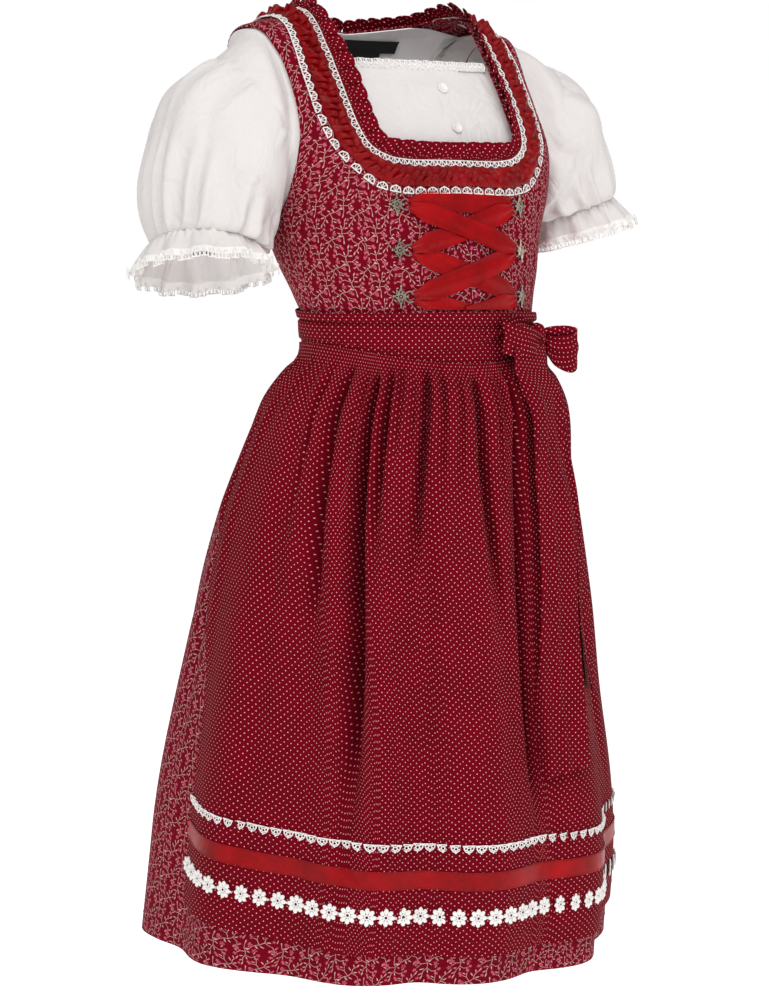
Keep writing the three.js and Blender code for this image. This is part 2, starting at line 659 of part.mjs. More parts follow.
function buildSleeves() {
  const { length, lace } = FLOUNCE;
  for (const [label, arm] of Object.entries(ARMS)) {
    const flounceAt = (from, to) => (u, v, out) =>
      onArm(onCuff(2 * Math.PI * u, lerp(from, to, v), out, arm), 1, arm);
    const puff = wall(onSleeve(arm), SLEEVE_COLUMNS, SLEEVE_ROWS, -SLEEVE_THICK, 0, true);
    const edging = wall(flounceAt(length + SEAM_GAP, length + lace), 36, 1, -1, 0, true);
    add("sleeve_" + label, "cotton", puff);
    add("sleeve_flounce_" + label, "cotton", wall(flounceAt(SEAM_GAP, length), 36, 1, -1, 0, true));
    add("cuff_lace_" + label, "lace", edging);
  }
}

// ---------------------------------------------------------------- skirt and apron
const SKIRT = profile(
  ["depth", "halfWidth", "halfDepth", "centreY"],
  [
    [-WAIST_Z, 101.8, 74.8, -60],
    [284, 102.5, 75.5, -60],
    [294, 111, 84, -59],
    [321, 127, 101, -52],
    [370, 141, 118, -40],
    [416, 153, 133, -31.5],
    [538, 173, 161, -19],
    [698, 194, 188, -10],
    [-HEM_Z, 197, 192, 2],
  ],
);
// Main folds of the skirt. turn and width in degrees; start and full: depths between which it opens.
const FOLDS = [
  { turn: -118, width: 9, height: 7, start: 330, full: 700 },
  { turn: -96, width: 8, height: -8, start: 360, full: 720 },
  { turn: -78, width: 9, height: 8, start: 300, full: 600 },
  { turn: -57, width: 8, height: -7, start: 285, full: 500 },
  { turn: -40, width: 9, height: 7, start: 300, full: 700 },
  { turn: -24, width: 6, height: -9, start: 285, full: 430 },
  { turn: -8, width: 9, height: 6, start: 300, full: 640 },
  { turn: 9, width: 7, height: -8, start: 290, full: 520 },
  { turn: 27, width: 9, height: 7, start: 330, full: 700 },
  { turn: 47, width: 8, height: -7, start: 300, full: 650 },
  { turn: 68, width: 9, height: 8, start: 320, full: 640 },
  { turn: 90, width: 8, height: -8, start: 340, full: 700 },
  { turn: 112, width: 9, height: 7, start: 330, full: 700 },
  { turn: 134, width: 8, height: -7, start: 320, full: 690 },
  { turn: 156, width: 9, height: 8, start: 340, full: 700 },
  { turn: 178, width: 8, height: -9, start: 300, full: 640 },
  { turn: 200, width: 9, height: 7, start: 330, full: 720 },
  { turn: 221, width: 8, height: -7, start: 340, full: 700 },
];

function foldOut(turn, depth) {
  let out = 0;
  for (const { turn: middle, width, height, start, full } of FOLDS) {
    const away = Math.atan2(Math.sin(turn - middle * DEGREE), Math.cos(turn - middle * DEGREE)) / DEGREE;
    out += height * smooth((depth - start) / (full - start)) * Math.exp(-((away / width) ** 2));
  }
  return out;
}

/** Point of the skirt, `out` mm outside its form. */
function onSkirt(turn, depth, out) {
  const ring = SKIRT(depth);
  const swell = foldOut(turn, depth) + out;
  const x = (ring.halfWidth + swell) * Math.sin(turn);
  return point(x, ring.centreY - (ring.halfDepth + swell) * Math.cos(turn), -depth);
}

const SKIRT_ROWS = [-WAIST_Z + SEAM_GAP / 2, 283, 294, 308, 334, 385, 460, 560, 680, -HEM_Z];
const skirtRow = (v) => SKIRT_ROWS[Math.round(v * (SKIRT_ROWS.length - 1))];

function buildSkirt() {
  const quarter = Math.PI / 2;
  const gather = { count: 16, depth: 2.8, start: 281, end: 90 };
  const frontAt = (u, v, out) =>
    onSkirt(lerp(-quarter + GAP_TURN, quarter - GAP_TURN, u), skirtRow(v), out);
  add("skirt_front", "floral", wall(frontAt, 32, SKIRT_ROWS.length - 1, 0, SKIRT_THICK));
  const backAt = (u, v, out) => {
    const depth = skirtRow(v);
    const below = depth - gather.start;
    const fade = smooth(below / 13) * (1 - smooth((below - 20) / gather.end));
    const clearOfApron = smooth((Math.min(u, 1 - u) - 0.16) / 0.08);
    const ripple = 0.5 - 0.5 * Math.cos(2 * Math.PI * gather.count * u);
    const wave = gather.depth * fade * clearOfApron * ripple;
    return onSkirt(lerp(quarter + GAP_TURN, 3 * quarter - GAP_TURN, u), depth, out + wave);
  };
  add("skirt_back", "floral", wall(backAt, gather.count * 2, SKIRT_ROWS.length - 1, 0, SKIRT_THICK));
}

/** Half of the apron's angle round the skirt: wide at the band, less so at the hem. */
const apronHalf = (depth) => lerp(122, 94, smooth((depth + BAND.bottom) / 330)) * DEGREE;

/** Bottom edge of the band: it rides higher at the sides. */
const bandBottom = (turn) => BAND.bottom + BAND.sideRise * Math.sin(turn) ** 2;

/** Swell of the gathers below the band. */
function gatherOut(u, depth) {
  const below = depth + BAND.bottom;
  const fade = smooth((below + 6) / 14) * (1 - smooth((below - 20) / GATHERS.length));
  return GATHERS.depth * fade * (0.5 - 0.5 * Math.cos(2 * Math.PI * GATHERS.count * u));
}

/** Point of the apron; its lower part rises towards the sides, as a straight hem on a flared skirt does. */
function onApron(u, depth, out) {
  const half = apronHalf(depth);
  const turn = lerp(-half, half, u);
  const rise = APRON.sideRise * Math.abs(2 * u - 1) ** 2.5 * smooth((depth - 400) / (-APRON.hem - 400));
  return onSkirt(turn, depth - rise, out + gatherOut(u, depth));
}

// Trims of the apron: the height of each one's middle above the hem.
const APRON_TRIMS = [
  { name: "apron_lace_upper", colour: "lace", above: 91, width: 8, thick: 0.9 },
  { name: "apron_ribbon", colour: "satin", above: 64.5, width: 15.5, thick: 0.8 },
  { name: "apron_daisy_lace", colour: "lace", above: 34, width: 14, thick: 1.2 },
];
const APRON_ROWS = [0, 292, 307, 334, 372, 425, 495, 585, 680, -APRON.hem];

function buildApron() {
  const last = APRON_ROWS.length - 1;
  const panelAt = (u, v, out) => {
    const row = Math.round(v * last);
    const top = -bandBottom((2 * u - 1) * apronHalf(-BAND.bottom)) + SEAM_GAP;
    return onApron(u, row === 0 ? top : APRON_ROWS[row], out);
  };
  add("apron_panel", "dotted", wall(panelAt, GATHERS.count * 2, last, APRON.inner, APRON.outer));
  const bandAt = (u, v, out) => {
    const turn = 2 * Math.PI * u;
    const z = lerp(BAND.top - BAND.topDip * Math.sin(turn) ** 2, bandBottom(turn), v);
    const crease = BAND.fold * Math.abs(Math.sin(Math.PI * 2.5 * v));
    return onFigure(turn, FIGURE_BASE.down + FIGURE_BASE.z - z, out + (out > BAND.inner ? crease : 0));
  };
  add("apron_band", "dotted", wall(bandAt, 36, 3, BAND.inner, BAND.outer, true));
  for (const { name, colour, above, width, thick } of APRON_TRIMS) {
    const top = -APRON.hem - above - width / 2;
    const at = (u, v, out) => onApron(u, top + width * v, out);
    const base = APRON.outer + 0.8;
    add(name, colour, wall(at, 36, 1, base, base + thick));
  }
}

// ---------------------------------------------------------------- bow at the wearer's left front
const TAIL_FOLD = 2.5; // depth of the fold down each tail
const TAIL_SPRING = 6; // distance that a tail springs out of the knot
const BOW = { turn: 44, level: 318, thick: 1.2 };
const KNOT = { width: 7, depth: 6, height: 13 }; // half sizes
// The loops' routes: angle round the waist in degrees, distance off the band, and height above its middle.
const LOOPS = [
  {
    name: "bow_loop_front",
    width: 23,
    route: [[39.9, 4.6, 2], [33, 6, 7], [26, 4, 9], [21, 5, 7], [24, 13, 5], [31, 15, 3], [40, 11, 0]],
  },
  {
    name: "bow_loop_back",
    width: 34,
    route: [[48.4, 7.6, 0], [53, 20, -3], [57, 31, -6], [58, 36, -9], [54, 31, -12], [50, 20, -10], [48, 13, -5]],
  },
];

/** Wall that follows a curve, as wide as `width(v)`, with its faces `thick` apart. */
function strip(curve, across, width, thick, rows) {
  const at = (u, v, out) => {
    const here = curve.getPointAt(v);
    const tangent = curve.getTangentAt(v);
    const normal = tangent.clone().cross(across).normalize();
    return here.addScaledVector(across, lerp(-0.5, 0.5, u) * width(v)).addScaledVector(normal, out);
  };
  return wall(at, 2, rows, 0, thick);
}

/** Place by angle round the waist, distance off the apron's band and height above the band's middle. */
const byBand = (turn, out, rise) =>
  onFigure(turn * DEGREE, BOW.level - rise, BAND.outer + BAND.fold + out);

function buildBow() {
  const knot = byBand(BOW.turn, KNOT.depth - SEAM_GAP, 0);
  const body = new THREE.SphereGeometry(1, 12, 8);
  body.scale(KNOT.width, KNOT.depth, KNOT.height);
  body.rotateZ(BOW.turn * DEGREE);
  body.translate(knot.x, knot.y, knot.z);
  add("bow_knot", "dotted", body);
  const up = point(0, 0, 1);
  for (const { name, width, route } of LOOPS) {
    const curve = new THREE.CatmullRomCurve3(route.map((stop) => byBand(...stop)));
    const widthAt = (v) => width * (0.45 + 0.55 * Math.sin(Math.PI * v) ** 0.7);
    add(name, "dotted", strip(curve, up, widthAt, BOW.thick, 10));
  }
  const tails = [
    { name: "bow_tail_1", top: 288, end: 622, from: 21, to: 10, width: 38, lift: 9 },
    { name: "bow_tail_2", top: 288, end: 560, from: 43, to: 38, width: 32, lift: 8.3 },
  ];
  for (const tail of tails) {
    const at = (u, v, out2) => {
      const depth = lerp(tail.top, tail.end, v);
      const middle = lerp(tail.from, tail.to, smooth(v)) * DEGREE;
      const opening = smooth(v / 0.25);
      const half = (tail.width * lerp(0.35, 1, opening)) / 2 / SKIRT(depth).halfDepth;
      const fold = TAIL_FOLD * Math.cos(2 * Math.PI * u) * opening + TAIL_SPRING * (1 - smooth(v / 0.35));
      return onSkirt(middle + lerp(-half, half, u), depth, out2 + fold);
    };
    add(tail.name, "dotted", wall(at, 4, 9, tail.lift, tail.lift + BOW.thick));
  }
}

buildBodice();
buildLining();
buildNeckTrims();
buildHooks();
buildLacing();
buildBlouse();
buildSleeves();
buildSkirt();
buildApron();
buildBow();

export default model;
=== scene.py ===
"""A child's dirndl set as it is worn: white blouse, floral bodice and skirt, dotted apron with a bow.

Sizes are in millimetres and become metres when a mesh is made. +Z is up, X runs to the wearer's left and
the front faces -Y. The origin is midway between the shoulder seams.
"""
import logging
import math
from dataclasses import dataclass, field, replace
from enum import Enum
from functools import partial
from typing import Callable, Sequence

import bpy
import numpy as np
from mathutils import Matrix, Vector


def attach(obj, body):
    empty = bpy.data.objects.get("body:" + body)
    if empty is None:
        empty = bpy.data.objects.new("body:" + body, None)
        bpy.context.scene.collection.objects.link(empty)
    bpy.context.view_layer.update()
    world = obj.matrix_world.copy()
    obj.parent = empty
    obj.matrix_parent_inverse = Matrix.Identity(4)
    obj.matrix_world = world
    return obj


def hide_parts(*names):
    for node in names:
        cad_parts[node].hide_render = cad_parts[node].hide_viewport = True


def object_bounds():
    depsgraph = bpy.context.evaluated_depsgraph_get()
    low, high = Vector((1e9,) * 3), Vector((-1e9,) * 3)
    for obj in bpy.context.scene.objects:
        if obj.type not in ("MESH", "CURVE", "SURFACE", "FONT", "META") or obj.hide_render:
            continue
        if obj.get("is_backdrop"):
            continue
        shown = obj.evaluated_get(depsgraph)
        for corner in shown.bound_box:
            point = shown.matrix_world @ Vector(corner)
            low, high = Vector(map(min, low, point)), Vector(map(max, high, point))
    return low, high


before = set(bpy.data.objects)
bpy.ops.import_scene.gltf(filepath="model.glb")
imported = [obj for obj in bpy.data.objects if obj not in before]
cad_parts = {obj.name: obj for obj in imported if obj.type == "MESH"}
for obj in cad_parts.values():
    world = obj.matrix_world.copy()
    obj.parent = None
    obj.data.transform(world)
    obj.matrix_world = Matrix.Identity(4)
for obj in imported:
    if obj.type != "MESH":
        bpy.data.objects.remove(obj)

Array = np.ndarray
Number = float | Array
Place = Callable[[Array, Array, Array], Array]
Faces = list[tuple[int, ...]]
Socket = bpy.types.NodeSocket
Node = bpy.types.Node
Tree = bpy.types.NodeTree
Thing = bpy.types.Object
Mesh = bpy.types.Mesh
Material = bpy.types.Material

LOG = logging.getLogger("dirndl")
DEGREE = math.pi / 180
MM = 0.001

# ------------------------------------------------------------------ driving sizes
# Rows and ways down run along the cloth from the shoulder ridge; depths run straight down from it.
LEAN = 0.045
SHOULDER_SLOPE = 0.28
SHOULDER_FADE = 80.0
STRAP_INNER = 76.0
UNDERARM = 222.0
WAIST_Z = -262.0
HEM_Z = -787.0
APRON_HEM = 763.0
BODICE_BOTTOM = 318.0
NECK_ROW = 153.0
BACK_ROW = 28.0
CENTRE_BACK_TOP = 41.0
FIGURE_BASE = 344.0 - 288.0
TRIM = 4.4
SEAM_TURN = 0.0004
# Rough distances from the body's middle, which turn millimetres along an edge into angles.
SIDE_RADIUS = 100.0
ARMHOLE_RADIUS = 85.0
# Where the skirt's gathers start.
GATHERS_TOP = 281.0
CLOTH_UV = "cloth"
# Edges sharper than these angles stay sharp, on motifs and on cloth.
MOTIF_EDGE = 50 * DEGREE
CLOTH_EDGE = 65 * DEGREE
# Steps in which a strip's length is measured, and the motifs' usual height off the form there.
STRIP_STEPS = 900
STRIP_OUT = 6.0
# How a fold sways to its low angle and fades, and how much wider it is in the cloth underneath.
SWAY_LENGTH = 260.0
FADE_LENGTH = 120.0
LOOSE_WIDTH = 1.3


def lerp(a: Number, b: Number, t: Number) -> Number:
    """Straight blend of a and b."""
    return a + (b - a) * t


def smooth(t: Number) -> Number:
    """Soft step from 0 to 1."""
    t = np.clip(t, 0.0, 1.0)
    return t * t * (3.0 - 2.0 * t)


def power(value: Number, exponent: Number) -> Number:
    """Signed power."""
    return np.sign(value) * np.abs(value) ** exponent


def unit(vectors: Array) -> Array:
    """Vectors with their length made 1."""
    length = np.linalg.norm(vectors, axis=-1, keepdims=True)
    return vectors / np.maximum(length, 1e-9)


def ripple(phase: Array) -> Array:
    """Even waves from 0 to 1, with a trough at phase 0."""
    return 0.5 - 0.5 * np.cos(phase)


def bell(t: Array) -> Array:
    """Bell curve, 1 at 0."""
    return np.exp(-(t**2))


def wrapped(angle: Array) -> Array:
    """Same angle from -pi to pi."""
    return np.arctan2(np.sin(angle), np.cos(angle))


def spun(angle: float) -> Array:
    """Matrix that turns rows of points about z."""
    sine, cosine = math.sin(angle), math.cos(angle)
    return np.array([[cosine, sine, 0], [-sine, cosine, 0], [0, 0, 1]])


class Table:
    """Smooth table without overshoot that maps its first column to the others."""

    def __init__(self, rows: Sequence[Sequence[float]]) -> None:
        """Takes the rows, in order of their first column.

        Args:
            rows: Key first, then the values.
        """
        data = np.array(rows, float)
        self.keys = data[:, 0]
        self.values = data[:, 1:]
        secant = np.diff(self.values, axis=0) / np.diff(self.keys)[:, None]
        before, after = secant[:-1], secant[1:]
        same = before * after > 0
        self.slopes = np.empty_like(self.values)
        self.slopes[0] = secant[0]
        self.slopes[-1] = secant[-1]
        self.slopes[1:-1] = np.where(same, 2 * before * after / np.where(same, before + after, 1.0), 0.0)

    def __call__(self, key: Number) -> Array:
        """Values at a key.

        Args:
            key: One key or an array of them.

        Returns:
            One array for each value column.
        """
        at = np.clip(np.asarray(key, float), self.keys[0], self.keys[-1])
        low = np.clip(np.searchsorted(self.keys, at) - 1, 0, len(self.keys) - 2)
        step = (self.keys[low + 1] - self.keys[low])[..., None]
        t = (at - self.keys[low])[..., None] / step
        value = self.values[low] * (1 + 2 * t) * (1 - t) ** 2
        value = value + self.slopes[low] * step * t * (1 - t) ** 2
        value = value + self.values[low + 1] * t**2 * (3 - 2 * t)
        value = value + self.slopes[low + 1] * step * t**2 * (t - 1)
        return np.moveaxis(value, -1, 0)


# ------------------------------------------------------------------ form inside the bodice
# Way down, z, half width, depth in front and behind, seam line's y, exponent of the section.
FIGURE = Table(
    [
        [0, 0, 148, 0, 0, 0, 2.5],
        [12, -1.5, 148, 12, 14, 0, 2.5],
        [25, -6, 147, 23, 30, 0, 2.5],
        [38, -13, 146, 33, 43, 0, 2.5],
        [51, -22, 145, 42, 52, 0, 2.5],
        [79, -42, 142, 57, 64, -3, 2.5],
        [117, -72, 139, 72, 76, -10, 2.7],
        [153, -102, 136, 80, 84, -19, 3.0],
        [195, -140, 128, 84, 89, -32, 2.6],
        [234, -178, 118, 85, 88, -39, 2.2],
        [261, -205, 112, 83, 84, -46, 2.1],
        [286, -230, 105, 77, 78, -54, 2.0],
        [311, -255, 99, 72, 72, -60, 2.0],
        [344, -288, 99, 72, 72, -60, 2.0],
    ]
)


def figure(turn: Number, down: Number) -> Array:
    """Point of the bare form.

    Args:
        turn: Angle from centre front, positive to the wearer's left.
        down: Way along the cloth from the shoulder ridge; negative at the back.

    Returns:
        Points, with x, y and z last.
    """
    turn, down = np.broadcast_arrays(np.asarray(turn, float), np.asarray(down, float))
    turn = np.where(down < 0, math.pi - turn, turn)
    down = np.abs(down)
    z, half_width, front, rear, seam_y, square = FIGURE(down)
    x = half_width * power(np.sin(turn), 2 / square)
    forward = power(np.cos(turn), 2 / square)
    outside = np.maximum(0.0, np.abs(x) - STRAP_INNER)
    fall = SHOULDER_SLOPE * outside * (1 - smooth(down / SHOULDER_FADE))
    y = seam_y - forward * np.where(forward > 0, front, rear)
    return np.stack([x, y, z - fall], -1)


def on_figure(turn: Number, down: Number, out: Number) -> Array:
    """Point off the form along its normal.

    Args:
        turn: Angle from centre front.
        down: Way down from the ridge.
        out: Distance off the form.

    Returns:
        Points, with x, y and z last.
    """
    turn, down, out = np.broadcast_arrays(turn, down, out)
    along = figure(turn + 0.01, down) - figure(turn - 0.01, down)
    fall = figure(turn, down + 0.5) - figure(turn, down - 0.5)
    normal = unit(np.cross(along, fall))
    return figure(turn, down) - normal * out[..., None]


def turn_at(x: Number, down: Number) -> Array:
    """Angle at which the front, or with a negative way down the back, has this x."""
    _, half_width, _, _, _, square = FIGURE(np.abs(down))
    share = np.minimum(1.0, np.abs(x) / half_width)
    return np.sign(x) * np.arcsin(share ** (square / 2))


def at_x(x: Number, down: Number, out: Number) -> Array:
    """Point off the form at this x."""
    return on_figure(turn_at(x, down), down, out)


FRONT_SEAMS = Table(
    [
        [153, 21.8, 24.8],
        [165, 24, 30],
        [182, 26.5, 36.5],
        [208, 29.5, 41.5],
        [243, 32.3, 44.5],
        [291, 36, 49],
        [330, 37, 50],
    ]
)
BACK_SEAM = Table([[28, 18], [60, 22], [150, 26], [230, 32], [330, 33]])
ARMHOLE = Table(
    [
        [0, 57, 57],
        [43, 55.6, 55.5],
        [66, 54.9, 55],
        [90, 54.7, 55.5],
        [117, 55.4, 57],
        [146, 58.3, 60.5],
        [167, 64.4, 66],
        [189, 73.5, 73.5],
        [203, 79.5, 79.5],
        [215, 86, 86],
        [222, 90, 90],
    ]
)
# Station, then x and way down of the neck edge, of the last lace's edge, and the ruffle's share.
NECK = Table(
    [
        [0, 0, 160, 0, 198, 0.27],
        [1, 30, 160, 45, 199, 0.27],
        [2, 50, 159, 72, 195, 0.27],
        [3, 63, 156, 89, 182, 0.27],
        [4, 69, 148, 101.6, 165, 0.28],
        [5, 71, 133, 108.5, 146, 0.28],
        [6, 72, 113, 110.5, 116, 0.27],
        [7, 73, 82, 110.5, 84, 0.25],
        [8, 75, 50, 109, 53, 0.2],
        [9, 76, 22, 107, 24, 0.12],
        [10, 76, 0, 106, 0, 0.08],
        [11, 72, -17, 104, -30, 0.12],
        [12, 60, -30, 91, -60, 0.2],
        [13, 36, -38, 58, -78, 0.22],
        [14, 0, -41, 0, -84, 0.22],
    ]
)
NECK_END = 14
RIDGE_STATION = 10


def above(start: float, down: Number) -> Number:
    """Share of the way from a row up to the shoulder seam."""
    return np.clip((start - down) / start, 0.0, 1.0)


def centre_seam(down: Array) -> Array:
    """Angle of the seam beside the centre panel."""
    return FRONT_SEAMS(down)[0] * DEGREE


def side_seam(down: Array) -> Array:
    """Angle of the side panel's front seam, and of the strap's inner edge above it."""
    strap = turn_at(lerp(72.5, STRAP_INNER, smooth(above(NECK_ROW, down))), down)
    return np.where(down >= NECK_ROW, FRONT_SEAMS(down)[1] * DEGREE, strap)


def back_seam(down: Array) -> Array:
    """Angle of the back seam, and of the strap's inner edge above it."""
    ease = np.sin(above(BACK_ROW, down) * math.pi / 2)
    strap = math.pi - lerp(BACK_SEAM(BACK_ROW)[0] * DEGREE, turn_at(STRAP_INNER, down), ease)
    return np.where(down >= BACK_ROW, math.pi - BACK_SEAM(down)[0] * DEGREE, strap)


def at_centre_back(down: Array) -> Array:
    """Way down at centre back of a row that is this way down at the back seam."""
    return lerp(BODICE_BOTTOM, CENTRE_BACK_TOP, (BODICE_BOTTOM - down) / (BODICE_BOTTOM - BACK_ROW))


def side_edge(down: Array, back: bool, inset: float = 0.0) -> Array:
    """Angle of the edge that goes up the side seam and round the armhole.

    Args:
        down: Way down from the ridge.
        back: True for the back half.
        inset: Millimetres that the edge stays inside the armhole.

    Returns:
        The angle on the wearer's left.
    """
    from_middle = math.pi / 2 - ARMHOLE(down)[1 if back else 0] * DEGREE
    from_middle = np.where(down >= UNDERARM, 0.0, from_middle) + SEAM_TURN + inset / SIDE_RADIUS
    return math.pi / 2 + (from_middle if back else -from_middle)


def standing(station: Array) -> Array:
    """1 on the shoulder ridge, fading to 0 at the front and back."""
    return 1 - smooth(np.abs(np.abs(station) * NECK_END - RIDGE_STATION) / 7)


def on_neckband(station: Array, across: Number, out: Number) -> Array:
    """Point of the neckline's trims.

    Args:
        station: From -1 to 1 round the neck, 0 at centre front.
        across: 0 at the neck edge and 1 at the outer edge.
        out: Distance off the form.

    Returns:
        Points, with x, y and z last.
    """
    x_in, down_in, x_out, down_out, _ = NECK(np.abs(station) * NECK_END)
    x = np.sign(station) * lerp(x_in, x_out, across)
    return at_x(x, lerp(down_in, down_out, across), out + standing(station))


def even_shares(curve: Callable[[Array], Array], steps: int = 400) -> Callable[[Array], Array]:
    """Turns an even share of a curve's length into the curve's own parameter.

    Args:
        curve: Curve with a parameter from 0 to 1.
        steps: Steps along it that are measured.

    Returns:
        A function from share to parameter.
    """
    t = np.linspace(0, 1, steps + 1)
    length = np.concatenate([[0], np.cumsum(np.linalg.norm(np.diff(curve(t), axis=0), axis=1))])
    return lambda share: np.interp(share, length / length[-1], t)


NECK_EVEN = even_shares(lambda t: on_neckband(t, 0.4, 0.0))


def ruffle_share(station: Array) -> Array:
    """Share of the neckline's width that the ruffle takes."""
    return NECK(np.abs(station) * NECK_END)[4]


def neck_station(share: Array) -> Array:
    """Station of a share of the neckline's length, from centre back round to centre back."""
    side = 2 * share - 1
    return np.sign(side) * NECK_EVEN(np.abs(side)) * 0.998


# ------------------------------------------------------------------ form of the skirt
SKIRT = Table(
    [
        [262, 101.8, 74.8, -60],
        [284, 102.5, 75.5, -60],
        [294, 111, 84, -59],
        [321, 127, 101, -52],
        [370, 141, 118, -40],
        [416, 153, 133, -31.5],
        [538, 173, 161, -19],
        [698, 194, 188, -10],
        [787, 197, 192, 2],
    ]
)


@dataclass(frozen=True)
class Fold:
    """Soft fold that runs down the skirt: a trough with a negative height."""

    turn: float
    width: float
    height: float
    start: float
    full: float
    low_turn: float | None = None
    fade: float = 2000.0
    tuck: float = 0.0

    def strength(self, turn: Array, depth: Array, loose: Number = 0.0) -> Array:
        """Strength of the fold at an angle and depth, from 0 to 1.

        Args:
            turn: Angle from centre front.
            depth: Distance below the shoulder ridge.
            loose: 1 for the cloth underneath, which lies clear of the tucked fold.

        Returns:
            The strength.
        """
        low = self.turn if self.low_turn is None else self.low_turn
        sway = smooth((depth - self.start) / SWAY_LENGTH)
        middle = (lerp(self.turn, low, sway) + loose * self.tuck) * DEGREE
        away = wrapped(turn - middle)
        away = away / (DEGREE * (1 + LOOSE_WIDTH * loose))
        opening = smooth((depth - self.start) / (self.full - self.start))
        closing = 1 - smooth((depth - self.fade) / FADE_LENGTH)
        return opening * closing * bell(away / self.width)


FOLDS = (
    Fold(-118, 9, 7, 330, 700),
    Fold(-96, 8, -8, 360, 720),
    Fold(-78, 9, 8, 300, 600),
    Fold(-57, 8, -7, 285, 500),
    Fold(-40, 9, 7, 300, 700),
    Fold(-24, 6, -9, 285, 430),
    Fold(-8, 9, 6, 300, 640),
    Fold(9, 7, -8, 290, 520),
    Fold(27, 9, 7, 330, 700),
    Fold(47, 8, -7, 300, 650),
    Fold(68, 9, 8, 320, 640),
    Fold(90, 8, -8, 340, 700),
    Fold(112, 9, 7, 330, 700),
    Fold(134, 8, -7, 320, 690),
    Fold(156, 9, 8, 340, 700),
    Fold(178, 8, -9, 300, 640),
    Fold(200, 9, 7, 330, 720),
    Fold(221, 8, -7, 340, 700),
)
# Narrow troughs and ridges: they fall from the gathers and fade at their own depths.
CREASES = (
    Fold(-70, 1.3, -7, 281, 300, -68, 335, 1.4),
    Fold(-52, 1.2, -6, 281, 298, -51, 325, 1.2),
    Fold(-35.5, 1.2, -5, 281, 296, -35, 310, 1.0),
    Fold(-18, 1.2, -6, 281, 296, -18.5, 322, 1.2),
    Fold(4, 1.2, -6, 281, 296, 6, 330, 1.2),
    Fold(9, 1.2, -4, 281, 296, 9, 310, 0.8),
    Fold(-74, 3.2, -4, 292, 335, -70, 620),
    Fold(-66, 2.4, 3, 292, 330, -64, 420),
    Fold(-61, 1.7, -20, 281, 304, -56.5, 400, 3.0),
    Fold(-54, 3.4, 4, 292, 330, -50, 520),
    Fold(-47.6, 1.8, -26, 281, 306, -43, 540, 3.5),
    Fold(-46, 3.2, -9, 330, 400, -43.5, 640),
    Fold(-40.6, 1.4, -15, 281, 300, -38, 350, 2.4),
    Fold(-36, 3, 3.5, 292, 330, -35, 560),
    Fold(-30, 1.3, -5, 281, 296, -30, 312, 1.0),
    Fold(-25, 1.6, -15, 281, 300, -27, 360, 2.6),
    Fold(-18, 3.4, 3, 292, 330, -19, 540),
    Fold(-11, 1.4, -6, 281, 296, -13, 318, 1.2),
    Fold(-3.4, 1.6, -16, 281, 302, 0, 400, 2.6),
    Fold(4, 3, 3.5, 292, 330, 5, 500),
    Fold(14.6, 1.5, -28, 283, 312, 9.0, 560, 2.4),
    Fold(33, 2.6, -5, 292, 330, 36, 470),
    Fold(52, 2.4, -5, 296, 335, 55, 560),
    Fold(60, 3, 4, 296, 335, 62, 480),
    Fold(80, 2.4, -5, 296, 335, 84, 520),
    Fold(104, 2.6, -5, 296, 335, 101, 430),
    Fold(122, 3, 4, 296, 330, 124, 520),
    Fold(145, 2.3, -5, 296, 330, 147, 460),
    Fold(167, 2.6, 4, 296, 330, 166, 540),
    Fold(190, 2.2, -5, 296, 330, 188, 430),
    Fold(211, 2.6, -4.5, 296, 330, 213, 520),
    Fold(232, 2.6, 4, 296, 330, 234, 450),
    Fold(250, 2.4, -5, 296, 335, 253, 520),
    Fold(263, 2.2, 3, 296, 335, 262, 440),
)


def on_skirt(turn: Array, depth: Array, out: Number, loose: Number = 0.0) -> Array:
    """Point of the skirt.

    Args:
        turn: Angle from centre front.
        depth: Distance below the shoulder ridge.
        out: Distance outside the skirt's form.
        loose: 1 for the cloth underneath, which keeps clear of the creases.

    Returns:
        Points, with x, y and z last.
    """
    half_width, half_depth, centre_y = SKIRT(depth)
    swell = out
    tucked = turn
    for fold in FOLDS:
        swell = swell + fold.height * fold.strength(turn, depth)
    for fold in CREASES:
        strength = fold.strength(turn, depth, loose)
        kept = 1 - loose if fold.height > 0 else 1.0
        swell = swell + fold.height * kept * strength
        tucked = tucked + fold.tuck * DEGREE * (1 - loose) * strength
    turn = tucked
    x = (half_width + swell) * np.sin(turn)
    y = centre_y - (half_depth + swell) * np.cos(turn)
    return np.stack([x, y, -depth + 0 * x], -1)


# ------------------------------------------------------------------ meshes
def leaned(points: Array) -> Array:
    """Points in metres, with the lean of the shoulders."""
    moved = np.array(points, float)
    moved[..., 2] -= LEAN * moved[..., 0]
    return moved * MM


